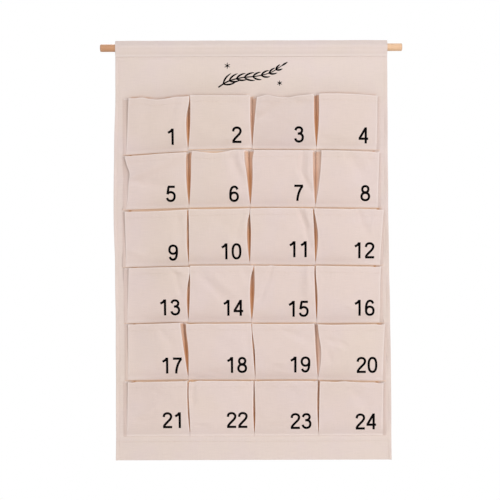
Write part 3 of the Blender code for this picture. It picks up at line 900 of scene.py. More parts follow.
        # the front's outer skin straight behind a point x, z of the wall's plane
        across = np.full(np.shape(x), 0.5)
        for _ in range(6):
            low, high = self.seam(across), self.height(across, 1.0)
            up = np.clip((z - low) / (high - low), 0.0, 1.0)
            left, right = self.span(up)
            across = np.clip((x - left) / (right - left), 0.0, 1.0)
        return -self.depth(across, up)


def sideOf(zone):
    return -1 if zone.endswith("Left") else 1


def mouthGlow(number):
    return pockets["mouthGlow"].get(number, pockets["usualGlow"])


def allowanceOf(pocket):
    return pockets["lastAllowance"] if pocket.isLast else pockets["allowance"]


def upsOf(pocket):
    # heights of the rows of points, closer together at the seam, the hem and the mouth
    tall, allowance = grid["pocketHeight"], allowanceOf(pocket)
    hem = 1 - pockets["hem"] / tall
    ups = [-allowance / tall, (-allowance + 0.0004) / tall, -0.5 * allowance / tall, -0.0006 / tall]
    ups += list(np.linspace(0, hem - 0.0022 / tall, pockets["upCells"]))
    ups += [hem + step / tall for step in pockets["hemSteps"]]
    ups += list(np.linspace(hem + 0.0027 / tall, 1 - 0.0009 / tall, 6))
    ups += [1 - 0.0004 / tall, 1.0]
    return np.array(ups)


def pocketTones(pocket, ups, columns):
    # painted shade: the deeper in a pleat, or behind the mouth below, the warmer and darker its tone;
    # folded edges are paler, partly wear and partly painted highlight
    nextGlow = 0.0 if pocket.isLast else mouthGlow(pocket.number + grid["columns"])
    behind = falling(ups, *pockets["nextMouth"])
    glow = np.tile((pockets["nextGlow"] * nextGlow * behind)[:, None], (1, len(columns)))
    fold = np.zeros(glow.shape)
    tone = np.full(glow.shape, pockets["tones"].get(pocket.number, 0.0))
    if pocket.isLast:
        amount, fades, begins = pockets["lastShade"]
        tone -= (amount * (1 - eased(ups / fades)) * eased(ups / begins))[:, None]
    wearAndLight = pockets["wearAndLight"] * rising(ups, *pockets["wearAndLightUp"])
    over = 1 - rising(ups * grid["pocketHeight"], 0.0005, pockets["paintedFootLightReach"][pocket.isLast])
    closed = 1 - pockets["openLoss"] * rising(ups, *pockets["openMouth"])
    for n, (zone, share) in enumerate(columns):
        side = sideOf(zone)
        if zone.startswith("fold") or (zone == "front" and share in (0, 1)):
            fold[:, n] = wearAndLight
        if zone == "front":
            fold[:, n] = np.minimum(fold[:, n], pockets["paintedFootLight"] * over)
            if not pocket.isLast:
                fold[:, n] = mixed(fold[:, n], pockets["dusk"] * (1 - nextGlow), behind)
        if zone.startswith("foot"):
            fold[:, n] = mixed(*pockets["footFold"], share)
            tone[:, n] -= pockets["footShade"][side]
        if zone.startswith("wall"):
            if pocket.isOuter[side]:
                fold[:, n] = mixed(*pockets["outerWallFold"], share)
                tone[:, n] -= pockets["outerWallShade"][side] + pockets["outerWallFall"] * share
            else:
                shade = pocket.shade(side, ups) * eased(ups / pockets["wallUp"])
                fold[:, n] = share ** pockets["wallPower"] * shade
                glow[:, n] = pocket.lit(side, ups) * eased(share / pockets["wallLit"])
            # the mouth's own edge is in the open
            fold[:, n] *= closed
            glow[:, n] *= closed
    fold[-3:] = np.where(np.abs(fold[-3:]) < 0.05, pockets["wearAndLight"], fold[-3:])
    return {"fold": fold, "glow": glow, "tone": tone}


def makePocket(pocket):
    ups = upsOf(pocket)
    columns = pocket.columns()
    outer = pocket.skin(ups, columns)
    tall = grid["pocketHeight"]
    below = (1 - ups) * tall
    doubled = falling(below, pockets["hem"] + cloth["turn"] / 2, cloth["turn"])
    thick = mixed(cloth["thickness"], pockets["hemThickness"], doubled)
    # the mouth's folded edge and the raw edge below the seam are rounded off
    toEnd = np.minimum(below, ups * tall + allowanceOf(pocket))
    trim = thick * roundedOff(toEnd, pockets["endRound"], 0.75)
    normal = normalsOf(outer)
    inner = outer - normal * (thick - trim)[:, None, None]
    outer = outer - normal * trim[:, None, None]
    # nothing goes through the panel
    inner[:, :, 1] = np.minimum(inner[:, :, 1], seatY)
    outer[:, :, 1] = np.minimum(outer[:, :, 1], seatY - 0.0001)
    for n, (zone, share) in enumerate(columns):
        if zone.startswith("foot"):
            footEnds = [panelFront + sunk for sunk in pockets["footSunk"]]
            inner[:, n, 1] = footEnds[1]
            outer[:, n, 1] = mixed(seatY - cloth["thickness"], footEnds[0], eased(share))
    flat = np.stack([alongCloth(outer), outer[:, :, 2]], axis=2)
    marks = pocketTones(pocket, ups, columns)
    return closedCloth(f"{pocket.name}_cloth", outer, inner, pocketCanvas, flat, marks)


# stitches: one is modelled, and every seam is a row of its copies

stitch = {
    "length": 0.0025,
    "pitch": 0.0031,
    "radius": 0.00026,
    "sunk": 0.00004,
    "reach": 0.0008,            # how far each way its direction is taken from
}


def modelStitch():
    deselect()
    bpy.ops.mesh.primitive_uv_sphere_add(segments=6, ring_count=4, radius=1.0, rotation=(0, math.pi / 2, 0))
    ball = bpy.context.object
    bpy.ops.object.transform_apply(location=False, rotation=True, scale=False)
    points = np.array([tuple(vert.co) for vert in ball.data.vertices])
    faces = [tuple(face.vertices) for face in ball.data.polygons]
    bpy.data.objects.remove(ball, do_unlink=True)
    # fuller towards its ends, as a thread that dives into the cloth
    points[:, 0] = np.sign(points[:, 0]) * np.abs(points[:, 0]) ** 0.8
    return points, faces


stitchPoints, stitchFaces = modelStitch()


def sewn(name, lines):
    # lines holds each seam's places, tangents and normals, cut at the stitch's pitch
    points, faces = [], []
    for places, tangents, normals in lines:
        for place, tangent, normal in zip(places, tangents, normals):
            tangent = tangent / np.linalg.norm(tangent)
            side = np.cross(normal, tangent)
            side = side / max(np.linalg.norm(side), 1e-9)
            normal = np.cross(tangent, side)
            base = len(points) * len(stitchPoints)
            shape = (place + normal * stitch["sunk"]
                     + stitchPoints[:, :1] * tangent * stitch["length"] / 2
                     + stitchPoints[:, 1:2] * side * stitch["radius"]
                     + stitchPoints[:, 2:3] * normal * stitch["radius"])
            points.append(shape)
            faces += [tuple(index + base for index in face) for face in stitchFaces]
    return meshObject(name, points, faces, thread)


def stitchRow(path, facing, ends):
    # stitches at an even pitch along a path of points. Facing is one way, or one way a point
    run = runOf(path)
    places = np.arange(ends, run[-1] - ends, stitch["pitch"])
    reach = stitch["reach"]
    tangents = pointsAt(places + reach, run, path) - pointsAt(places - reach, run, path)
    normals = pointsAt(places, run, np.broadcast_to(np.asarray(facing, float), path.shape))
    return pointsAt(places, run, path), tangents, normals / np.linalg.norm(normals, axis=1, keepdims=True)


def sewPocket(pocket):
    tall = grid["pocketHeight"]
    columns = pocket.columns(2)
    at = 1 - pockets["hemStitch"] / tall
    band = pocket.skin([at - 0.01, at, at + 0.01], columns)
    facing = normalsOf(band)
    hemLine = stitchRow(band[1], facing[1], 0.0015)
    shares = np.linspace(0, 1, 60)
    low = pocket.skin([-0.004, 0.0, 0.004], [("front", share) for share in shares])
    bottomLine = stitchRow(low[1], (0.0, -1.0, 0.0), 0.003)
    return sewn(f"{pocket.name}_thread", [hemLine, bottomLine])


# printed numbers: strokes of even width, laid on the front's own surface

def oval(x, z, wide, tall, power=2.2, count=44):
    turns = np.linspace(0, 2 * math.pi, count, endpoint=False)
    cosine, sine = np.cos(turns), np.sin(turns)
    return np.stack([x + wide * np.sign(cosine) * np.abs(cosine) ** (2 / power),
                     z + tall * np.sign(sine) * np.abs(sine) ** (2 / power)], axis=1)


def smoothLine(points, steps=7):
    # a smooth line through its points
    points = np.asarray(points, float)
    ends = np.concatenate([[2 * points[0] - points[1]], points, [2 * points[-1] - points[-2]]])
    line = []
    for n in range(1, len(ends) - 2):
        a, b, c, d = ends[n - 1:n + 3]
        for t in np.linspace(0, 1, steps, endpoint=False):
            square, cube = 2 * a - 5 * b + 4 * c - d, 3 * b - a - 3 * c + d
            line.append(0.5 * (2 * b + (c - a) * t + square * t ** 2 + cube * t ** 3))
    return np.array([*line, points[-1]])


def straight(start, end, count=12):
    return np.linspace(start, end, count)


figures = {
    "height": 0.0317,
    "stroke": 0.145,            # of the height
    "advance": 0.7,
    "lift": 0.00012,
}
bowlOfSix = oval(0.305, 0.315, 0.2325, 0.2525)
hookOfSix = smoothLine([(0.515, 0.765), (0.455, 0.88), (0.33, 0.936), (0.19, 0.885), (0.105, 0.73),
                        (0.0725, 0.5), (0.0725, 0.31)])
figureShapes = {                # open strokes, closed strokes, left bearing, width
    "0": ((), (oval(0.3, 0.5, 0.236, 0.436, 2.4),), 0.05, 0.6),
    "1": ((straight((0.306, 0.0), (0.306, 1.0), 20),
           smoothLine([(0.02, 0.745), (0.13, 0.8), (0.215, 0.868), (0.28, 0.965)])), (), 0.11, 0.37),
    "2": ((smoothLine([(0.072, 0.7), (0.105, 0.84), (0.195, 0.915), (0.31, 0.936), (0.435, 0.905),
                       (0.52, 0.81), (0.53, 0.69), (0.465, 0.56), (0.335, 0.42), (0.2, 0.28),
                       (0.115, 0.17), (0.075, 0.075)]),
           straight((0.022, 0.064), (0.59, 0.064))), (), 0.05, 0.6),
    "3": ((smoothLine([(0.075, 0.755), (0.125, 0.87), (0.21, 0.925), (0.3, 0.936), (0.415, 0.905),
                       (0.482, 0.81), (0.482, 0.7), (0.41, 0.6), (0.29, 0.556), (0.22, 0.553)]),
           smoothLine([(0.24, 0.553), (0.345, 0.55), (0.46, 0.505), (0.528, 0.4), (0.534, 0.28),
                       (0.49, 0.155), (0.4, 0.085), (0.29, 0.064), (0.175, 0.095), (0.095, 0.175),
                       (0.068, 0.262)])), (), 0.05, 0.6),
    "4": ((straight((0.448, 0.0), (0.448, 1.0), 20), straight((0.436, 0.955), (0.062, 0.318)),
           straight((0.0, 0.296), (0.6, 0.296))), (), 0.04, 0.62),
    "5": ((straight((0.118, 0.936), (0.552, 0.936)), straight((0.16, 0.93), (0.092, 0.475)),
           smoothLine([(0.078, 0.485), (0.17, 0.575), (0.295, 0.607), (0.425, 0.57), (0.515, 0.465),
                       (0.535, 0.33), (0.502, 0.195), (0.415, 0.095), (0.29, 0.064), (0.165, 0.09),
                       (0.093, 0.165), (0.066, 0.252)])), (), 0.05, 0.6),
    "6": ((hookOfSix,), (bowlOfSix,), 0.05, 0.6),
    "7": ((straight((0.03, 0.936), (0.58, 0.936)),
           smoothLine([(0.548, 0.925), (0.45, 0.79), (0.345, 0.58), (0.27, 0.34), (0.238, 0.16),
                       (0.226, 0.0)])), (), 0.05, 0.6),
    "8": ((), (oval(0.3, 0.742, 0.19, 0.194), oval(0.3, 0.292, 0.236, 0.228)), 0.05, 0.6),
    "9": ((np.array([0.6, 1.0]) - hookOfSix,), (np.array([0.6, 1.0]) - bowlOfSix,), 0.05, 0.6),
}
# right end of each number left of its grid line, and its base above the row's seam (mm)
figurePlaces = (
    (30.0, 12.7), (20.9, 16.3), (23.2, 16.5), (20.4, 14.3), (26.3, 11.8), (26.8, 11.6),
    (24.5, 13.0), (17.8, 12.0), (21.9, 7.6), (22.2, 9.8), (18.6, 13.6), (10.0, 11.0),
    (18.2, 11.6), (18.2, 10.4), (15.1, 8.0), (10.2, 9.6), (14.3, 9.0), (11.7, 9.8),
    (12.1, 10.2), (5.3, 9.0), (17.2, 13.7), (10.9, 13.7), (10.6, 11.1), (7.5, 9.7),
)


def printed(name, strokes, surface, lift):
    # strokes holds (line, half widths, closed) in metres on the wall's plane
    points, faces, flats = [], [], []
    for line, halves, isClosed in strokes:
        if isClosed:
            ahead = np.roll(line, -1, axis=0) - np.roll(line, 1, axis=0)
        else:
            ahead = np.gradient(line, axis=0)
        ahead = ahead / np.linalg.norm(ahead, axis=1, keepdims=True)
        across = np.stack([-ahead[:, 1], ahead[:, 0]], axis=1) * np.asarray(halves).reshape(-1, 1)
        base = sum(len(part) for part in points)
        spots = np.concatenate([line + across, line, line - across])
        y = surface(spots[:, 0], spots[:, 1])
        skin = np.stack([spots[:, 0], y - lift, spots[:, 1]], axis=1)
        root = np.stack([spots[:, 0], y + lift, spots[:, 1]], axis=1)
        points += [skin, root]
        flats += [spots, spots]
        count = len(line)
        under = 3 * count
        for n in range(count if isClosed else count - 1):
            m = (n + 1) % count
            a, b, c = base + n, base + count + n, base + 2 * count + n
            d, e, f = base + m, base + count + m, base + 2 * count + m
            top = (a, b, e, d), (b, c, f, e)
            faces += [*top, *[tuple(index + under for index in face[::-1]) for face in top]]
            faces += [(a, d, d + under, a + under), (f, c, c + under, f + under)]
        if not isClosed:
            for n, order in ((0, 1), (count - 1, -1)):
                a, b, c = base + n, base + count + n, base + 2 * count + n
                cap = [a, a + under, b + under, b], [b, b + under, c + under, c]
                faces += [tuple(face[::order]) for face in cap]
    made = meshObject(name, points, faces, ink, flats, smooth=False)
    deselect()
    made.select_set(True)
    bpy.context.view_layer.objects.active = made
    bpy.ops.object.mode_set(mode="EDIT")
    faceOutwards()
    return made


def printNumber(pocket):
    right, base = figurePlaces[pocket.number - 1]
    tall = figures["height"]
    line = cloth["shift"] + (pocket.column + 1 - grid["columns"] / 2) * grid["pitchAcross"]
    end = line - right * mm
    foot = pocket.mouthZ - grid["pocketHeight"] + base * mm
    word = str(pocket.number)
    last = figureShapes[word[-1]]
    start = end - (figures["advance"] * (len(word) - 1) + last[2] + last[3]) * tall
    strokes = []
    for n, mark in enumerate(word):
        opens, closeds, bearing, _ = figureShapes[mark]
        corner = np.array([start + (figures["advance"] * n + bearing) * tall, foot])
        for isClosed, group in ((False, opens), (True, closeds)):
            for stroke in group:
                shape = corner + stroke * tall
                strokes.append((shape, np.full(len(shape), figures["stroke"] * tall / 2), isClosed))
    return printed(f"{pocket.name}_number", strokes, pocket.frontAt, figures["lift"])


allPockets = [Pocket(number) for number in range(1, grid["rows"] * grid["columns"] + 1)]


def nodesOf(pocket):
    # the front and the pleats at its two sides
    number = pocket.number
    left = f"pleat_left_{number:02d}" if pocket.isOuter[-1] else f"pleat_{number - 1:02d}_{number:02d}"
    right = f"pleat_right_{number:02d}" if pocket.isOuter[1] else f"pleat_{number:02d}_{number + 1:02d}"
    return f"{pocket.name}_front", left, right


for pocket in allPockets:
    made = makePocket(pocket)
    seams = sewPocket(pocket)
    number = printNumber(pocket)
    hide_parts(*nodesOf(pocket))
    for piece in (made, seams, number):
        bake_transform(piece)
print("pockets made:", len(allPockets))


# back panel

panel = {
    "hemExtra": 0.0008,
    "turnIn": 0.006,            # turned-in end of the sleeve, down the back from the stitch line
    "hemStitch": 0.0066,        # side stitch line in from the edge
    "bottomStitch": 0.0366,
    "columns": 124,
    "rowStep": 0.0042,
    "sidePoints": (0.0, 0.0004, 0.0011, 0.0026, 0.0045, 0.006, 0.0066, 0.0073, 0.0077, 0.0083, 0.01),
    "bottomPoints": (0.0, 0.0004, 0.0011, 0.003, 0.007, 0.012, 0.018, 0.024, 0.03, 0.0345,
                     0.0358, 0.0366, 0.0374, 0.0378, 0.0384, 0.0405),
    "topPoints": (0.0018, 0.0032, 0.0038, 0.005, 0.0066, 0.008, 0.0092, 0.0097),
    "ripple": 0.00035,
    "rippleLength": 0.07,
    "groove": 0.00022,          # how far the stitches pull the cloth in
    "flare": 0.0005,            # the cloth thickens into the sleeve's seam
    "flareDrop": 0.0055,
    "bendEnd": 0.045,           # the cloth bends from the sleeve's seam down to here
    # painted shade in an outer pleat's inner fold inside the mouth
    "pleatInside": 0.012,       # from an outer edge to the pleat's dark inner fold
    # painted shade: the bottom band is darker
    "bandShade": -0.03,          # the bottom band is a shade darker
    # painted warm shade on the panel behind the fronts
    "behindFirst": 0.25,        # warm tone behind the fronts of the first row, and of the others
    "behind": 0.45,
    "pleatDark": 0.95,
    "pleatLoss": 0.8,
    "gapReach": 0.006,
    # painted warm shade beside the outer pleats
    "outerFold": 0.12,          # beside the outer pleats
    "outerShade": {-1: -0.02, 1: -0.055},
    "overMouths": (0.55, 0.35, 0.15, 0.35),     # warm shadow over each mouth of the first row
    "overReach": (0.003, 0.0026),       # how far over the mouth it lies, and its width
    "frontFade": 0.004,         # tones end within this beside a front
    "lightFrom": (0.022, 0.01),         # light in a mouth: begins below its line, within
    "lightTo": (0.0045, 0.001),         # ends above its line, within
    "pleatWidth": 0.0035,
    "pleatEdge": (0.006, 0.005),
    "outerPlace": 0.003,        # middle of an outer pleat's tones, out from its seam
    "outerWidths": (0.0045, 0.01),      # fold, shade
    "sideMargin": 0.012,        # from an edge to the even columns
    "grooveWidth": 0.001,
    "groovePitch": 0.0062,
    "leastRound": 0.08,
    "looseEdge": 0.022,         # width of the free side edges
    # short creases: x and z, half length, width, height, turn in degrees (mm)
    "creases": (
        (-262, -322, 9, 3, -0.9, 0), (-263, -660, 8, 3, 0.9, 8), (-258, -268, 20, 5, 0.8, 70),
        (-254, -430, 34, 4, -0.7, 84), (262, -300, 30, 4, 0.6, 88), (264, -545, 10, 4, -0.8, 10),
        (-205, -786, 40, 8, 0.5, 4), (60, -795, 70, 10, -0.4, -3), (190, -36, 60, 12, 0.5, 30),
    ),
}


def panelShape(x, z):
    bow = panelBow(x, z)
    fade = falling(z, stitchZ - 0.004, 0.02)
    # the panel ripples where nothing is sewn on it: its sides, the bottom band and the header
    loose = panel["looseEdge"]
    free = np.maximum(falling(toSideEdge(x, z), loose, loose), falling(z, lastSeam - 0.012, 0.02))
    free = np.maximum(free, rising(z, firstMouth + 0.006, 0.02))
    bow = bow + panel["ripple"] * ripple(91, x, z, panel["rippleLength"]) * fade * free
    for cx, cz, half, width, height, turn in panel["creases"]:
        angle = math.radians(turn)
        dx, dz = x - cx * mm, z - cz * mm
        along = (dx * math.cos(angle) + dz * math.sin(angle)) / (half * mm)
        off = (-dx * math.sin(angle) + dz * math.cos(angle)) / (width * mm)
        bow = bow + height * mm * np.exp(-along ** 2 - off ** 2)
    return bow


def panelRows():
    rows = [bottomEdge + offset for offset in panel["bottomPoints"]]
    top = stitchZ - 0.0095
    count = int(round((top - rows[-1]) / panel["rowStep"]))
    rows += list(np.linspace(rows[-1], top, count + 1)[1:])
    rows += [top + step for step in panel["topPoints"]]
    return np.array(rows)


def panelFlare(z):
    return panel["flare"] * eased((panel["flareDrop"] - (stitchZ - z)) / panel["flareDrop"])


def panelTones(x, z):
    # painted warm shade between two pleats, and painted warm light just inside the mouths
    deep, glow = np.zeros(x.shape), np.zeros(x.shape)
    tone = panel["bandShade"] * falling(z, lastSeam - 0.004, 0.004)
    for pocket in allPockets:
        top, low = pocket.mouthZ, pocket.mouthZ - grid["pocketHeight"]
        up = (z - low) / grid["pocketHeight"]
        beside = falling(z, top + 0.0015, 0.003) * rising(z, low + 0.001, 0.008)
        left, right = pocket.edge(-1, 1.0), pocket.edge(1, 1.0)
        within = rising(x, left, panel["frontFade"]) * falling(x, right, panel["frontFade"])
        outerSides = [side for side in (-1, 1) if pocket.isOuter[side]]
        if pocket.row == 0:
            lip = pocket.mouth(np.clip((x - left) / (right - left), 0, 1))
            place, width = panel["overReach"]
            over = panel["overMouths"][pocket.column] * hump(z - lip - place, width)
            deep = np.maximum(deep, within * np.maximum(panel["behindFirst"] * beside, over))
        else:
            deep = np.maximum(deep, panel["behind"] * beside * within * falling(z, top - 0.012, 0.01))
            (begin, rise), (end, fall) = panel["lightFrom"], panel["lightTo"]
            inMouth = within * rising(z, top - begin, rise) * falling(z, top + end, fall)
            dusk = pockets["dusk"] * (1 - mouthGlow(pocket.number)) * inMouth
            for side in outerSides:
                # an outer pleat is folded flat inside its mouth, with painted shade there
                inwards = side * (pocket.edge(side, 1.0) - x)
                dark = hump(inwards - panel["pleatInside"], panel["pleatWidth"]) * inMouth
                inMouth = inMouth * rising(inwards, *panel["pleatEdge"]) * (1 - panel["pleatLoss"] * dark)
                dusk = np.maximum(dusk, panel["pleatDark"] * dark)
            glow = np.maximum(glow, mouthGlow(pocket.number) * inMouth)
            deep = np.maximum(deep, dusk)
        if not pocket.isOuter[-1]:
            near = beside * hump(x - pocket.panelSeam(-1, up), panel["gapReach"])
            deep = np.maximum(deep, pocket.shade(-1, up) * near)
            glow = np.maximum(glow, pocket.lit(-1, up) * near)
        for side in outerSides:
            outwards = x - pocket.panelSeam(side) - side * panel["outerPlace"]
            narrow, wide = [beside * hump(outwards, width) for width in panel["outerWidths"]]
            deep = np.maximum(deep, panel["outerFold"] * narrow)
            tone = np.minimum(tone, panel["outerShade"][side] * wide)
    return deep, glow, tone


def makePanel():
    rows = panelRows()
    near = panel["sidePoints"]
    middle = np.linspace(0, 1, panel["columns"] + 1)[1:-1]
    left, right = leftEdge(rows), rightEdge(rows)
    lines = [left + offset for offset in near]
    margin = panel["sideMargin"]
    lines += [mixed(left + margin, right - margin, share) for share in middle]
    lines += [right - offset for offset in near[::-1]]
    x = np.stack(lines, axis=1)
    z = np.tile(rows[:, None], (1, x.shape[1]))
    bow = panelShape(x, z)
    half, turn = cloth["thickness"] / 2, cloth["turn"]
    toSide, toBottom, drop = toSideEdge(x, z), z - bottomEdge, stitchZ - z
    hemmed = np.maximum(falling(toSide, edges["sideHem"] + turn / 2, turn),
                        falling(toBottom, edges["bottomHem"] + turn / 2, turn))
    turned = falling(drop, panel["turnIn"], turn) * (z < stitchZ + 0.001)
    toEnd = np.clip(np.minimum(toSide, toBottom) / cloth["endRound"], 0, 1)
    rounding = np.sqrt(np.clip(1 - (1 - toEnd) ** 2, panel["leastRound"], 1))
    toStitch = np.minimum(np.abs(toSide - panel["hemStitch"]), np.abs(toBottom - panel["bottomStitch"]))
    pulled = 0.8 + 0.2 * np.sin((x + z) * 2 * math.pi / panel["groovePitch"])
    groove = panel["groove"] * hump(toStitch, panel["grooveWidth"]) * pulled
    frontY = -bow - half * rounding + groove - panelFlare(z)
    backY = -bow + half * rounding + panel["hemExtra"] * hemmed * rounding - groove
    turnedY = -bow + mixed(half, cloth["thickness"], turned)
    backY = np.where(turned > 0, np.maximum(backY, turnedY), backY)
    outer, inner = np.stack([x, frontY, z], axis=2), np.stack([x, backY, z], axis=2)
    marks = dict(zip(("fold", "glow", "tone"), panelTones(x, z)))
    return closedCloth("panel_cloth", outer, inner, panelCanvas, np.stack([x, z], axis=2), marks)


def onPanel(x, z, side):
    # a point of the panel's front (-1) or back (1) skin
    hemmed = np.maximum(falling(toSideEdge(x, z), edges["sideHem"], cloth["turn"]),
                        falling(z - bottomEdge, edges["bottomHem"], cloth["turn"]))
    extra = panel["hemExtra"] * hemmed if side > 0 else 0 * x
    return side * (cloth["thickness"] / 2 + extra + panelFlare(z)) - panelShape(x, z)


def panelLine(x, z, side, ends=0.003):
    x, z = np.broadcast_arrays(np.asarray(x, float), np.asarray(z, float))
    path = np.stack([x, onPanel(x, z, side), z], axis=1)
    return stitchRow(path, (0.0, side, 0.0), ends)


def sewPanel(side):
    down = np.linspace(stitchZ - 0.002, bottomEdge + 0.002, 300)
    lines = [panelLine(leftEdge(down) + panel["hemStitch"], down, side),
             panelLine(rightEdge(down) - panel["hemStitch"], down, side)]
    low = bottomEdge + panel["bottomStitch"]
    lines.append(panelLine(np.linspace(leftEdge(low), rightEdge(low), 200), np.full(200, low), side))
    if side > 0:                # the pockets' seams come through to the back
        for pocket in allPockets:
            shares = np.linspace(0, 1, 30)
            left, right = pocket.edge(-1, 0.0), pocket.edge(1, 0.0)
            lines.append(panelLine(mixed(left, right, shares), pocket.seam(shares), side, 0.001))
            for way in (-1, 1):
                if way > 0 and not pocket.isOuter[1]:
                    continue
                share = np.linspace(0.02, 1, 40)
                x = pocket.panelSeam(way, share) + way * 0.0005
                lines.append(panelLine(x, pocket.height(0.5 + way / 2, share), side, 0.001))
    return sewn("panel_thread_front" if side < 0 else "panel_thread_back", lines)


def asPanel(piece):
    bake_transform(piece)
    return piece


panelCloth = makePanel()
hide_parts("back_panel")
panelSeams = [sewPanel(-1), sewPanel(1)]
for piece in (panelCloth, *panelSeams):
    asPanel(piece)
print("panel made")


# header print: a plain fir sprig with two small stars

sprig = {
    "middle": (-0.0015, -0.057),
    "lift": 0.00012,
    "stem": ((-64, -22), (-44, -10), (-18, -3), (12, 0), (40, 7), (63, 21)),
    "stemHalf": (1.5, 0.8),     # half widths at its foot and tip
    "needles": 9,
    "needleLength": (27.0, 13.0),
    "needleHalf": 2.0,
    "lean": 46,                 # degrees off the stem
    "curl": 0.45,               # how far a needle bends towards the tip
    "sway": 4,                  # degrees either way
    "lengthPlay": (0.88, 1.08),
    "stars": ((-46, 21, 6.5), (58, -14, 5.6)),
    "starHalf": 0.0009,
}


def printSprig():
    middle = np.array(sprig["middle"])
    stem = smoothLine(np.array(sprig["stem"]) * mm, 14)
    shares = np.linspace(0, 1, len(stem))
    strokes = [(middle + stem, mixed(*sprig["stemHalf"], shares) * mm, False)]
    dice = np.random.default_rng(5)
    for n in range(sprig["needles"]):
        share = 0.1 + 0.9 * n / (sprig["needles"] - 1)
        at, before, after = pointsAt(np.array([share, share - 0.03, share + 0.03]), shares, stem)
        heading = math.atan2(*(after - before)[::-1])
        long = mixed(*sprig["needleLength"], share) * mm * dice.uniform(*sprig["lengthPlay"])
        for way in ((-1, 1) if n < sprig["needles"] - 1 else (0,)):
            lean = sprig["lean"] + dice.uniform(-sprig["sway"], sprig["sway"])
            turn = heading + way * math.radians(lean)
            steps = np.linspace(0, 1, 9)
            bend = turn - way * sprig["curl"] * steps
            path = at + np.stack([np.cos(bend), np.sin(bend)], axis=1) * (steps * long)[:, None]
            halves = sprig["needleHalf"] * mm * np.sqrt(np.clip(1 - steps ** 2, 0.03, 1))
            strokes.append((middle + path, halves * mixed(0.55, 1.0, eased(steps * 2.5)), False))
    for x, z, reach in sprig["stars"]:
        spot = middle + np.array([x, z]) * mm
        for n in range(3):
            turn = math.radians(90 + 60 * n)
            way = np.array([math.cos(turn), math.sin(turn)]) * reach * mm
            steps = np.linspace(-1, 1, 9)
            halves = sprig["starHalf"] * np.sqrt(np.clip(1.05 - steps ** 2, 0.05, 1))
            strokes.append((spot + steps[:, None] * way, halves, False))
    return printed("header_print", strokes, lambda x, z: onPanel(x, z, -1), sprig["lift"])


headerPrint = asPanel(printSprig())
print("header printed")


# sleeve round the dowel

sleeve = {
    "apex": 0.01525,            # where its two slopes would meet over the dowel
    "top": 0.0145,
    "apexRadius": 0.0013,
    "around": 0.0088,           # outer skin from the dowel's axis
    "lowest": 102,              # degrees from the top to where the cloth leaves the dowel
    "fullness": ((0.0017, -0.0168), (0.0032, -0.0142), (0.0049, -0.0112), (0.0065, -0.008)),
    "tail": 0.00105,
    "step": 0.0055,
    "cut": 0.00096,             # even spacing of points round it
    "wave": 0.00022,
    "pucker": 0.00016,
    "puckerPitch": 0.0093,
    "puckerReach": (0.1, 0.05),         # share of the way round it that the puckers take, and begin in
    "waveLength": 0.06,
    "sidePoints": (0.0, 0.0004, 0.0011, 0.003),
    "sideMargin": 0.006,
    "underside": ((-0.4, -0.001, 0.005), (-0.6, -0.0125, 0.003)),   # pale light: amount, from, within
}


def sleevePath():
    # outer skin from the front's stitch line over the dowel to the back's, in y and z
    radius = sleeve["around"]
    upper = math.acos(radius / sleeve["apex"])
    lower = math.radians(sleeve["lowest"])
    half = [(sleeve["tail"], stitchZ + 0.0003), *sleeve["fullness"]]
    for n in range(25):
        turn = mixed(lower, upper, n / 24)
        half.append((radius * math.sin(turn), radius * math.cos(turn)))
    slope = math.asin(radius / sleeve["apex"])
    small = sleeve["apexRadius"]
    centre = sleeve["apex"] - small / math.sin(slope)
    for n in range(7):
        turn = mixed(math.pi / 2 - slope, 0.0, n / 6)
        half.append((small * math.sin(turn), centre + small * math.cos(turn)))
    path = np.array([(-y, z) for y, z in half] + [(y, z) for y, z in half[-2::-1]])
    path[:, 1] += np.clip(path[:, 1] / sleeve["top"], 0, 1) ** 6 * (sleeve["top"] - path[:, 1].max())
    run = runOf(path)
    even = pointsAt(np.linspace(0, run[-1], int(run[-1] / sleeve["cut"])), run, path)
    for _ in range(2):          # the tight corners by the tail ease a little
        even[1:-1] = even[1:-1] * 0.5 + (even[:-2] + even[2:]) * 0.25
    return even


def makeSleeve():
    path = sleevePath()
    left, right = leftEdge(stitchZ), rightEdge(stitchZ)
    near, margin = sleeve["sidePoints"], sleeve["sideMargin"]
    middle = np.linspace(left + margin, right - margin, int((right - left) / sleeve["step"]))
    x = np.array([*[left + n for n in near], *middle, *[right - n for n in near[::-1]]])
    skin = np.zeros((len(path), len(x), 3))
    skin[:, :, 0] = x[None, :]
    skin[:, :, 1], skin[:, :, 2] = path[:, :1], path[:, 1:2]
    away = skin[:, :, 1:] / np.linalg.norm(skin[:, :, 1:], axis=2, keepdims=True)
    run = np.linspace(0, 1, len(path))[:, None]
    toFoot = np.minimum(run, 1 - run)
    waves = 1 + ripple(17, x[None, :], run * 0.05, sleeve["waveLength"])
    wave = sleeve["wave"] * waves * np.sin(math.pi * run) ** 2
    pucker = sleeve["pucker"] * (1 + np.sin(x[None, :] * 2 * math.pi / sleeve["puckerPitch"]))
    reach, begins = sleeve["puckerReach"]
    pucker = pucker * hump(toFoot, reach) * eased(toFoot / begins)
    skin[:, :, 1:] += away * (wave + pucker)[:, :, None]
    skin[:, :, 2] = np.minimum(skin[:, :, 2], sleeve["top"])
    normal = normalsOf(skin)
    trim = roundedOff(np.minimum(x - left, right - x), cloth["endRound"], 0.85)[None, :, None]
    trim = trim * cloth["thickness"]
    inner = skin - normal * (cloth["thickness"] - trim)
    outer = skin - normal * trim
    # its underside catches the light that the pockets throw back
    z = skin[:, :, 2]
    pale = sum(amount * falling(z, start, length) for amount, start, length in sleeve["underside"])
    # along the loop the weave follows the cloth, not the height
    flat = np.stack(np.meshgrid(x, runOf(path[::-1])), axis=2)
    marks = {"fold": pale * (skin[:, :, 1] < 0)}
    return closedCloth("sleeve_cloth", outer, inner, panelCanvas, flat, marks, soaked=1.0)


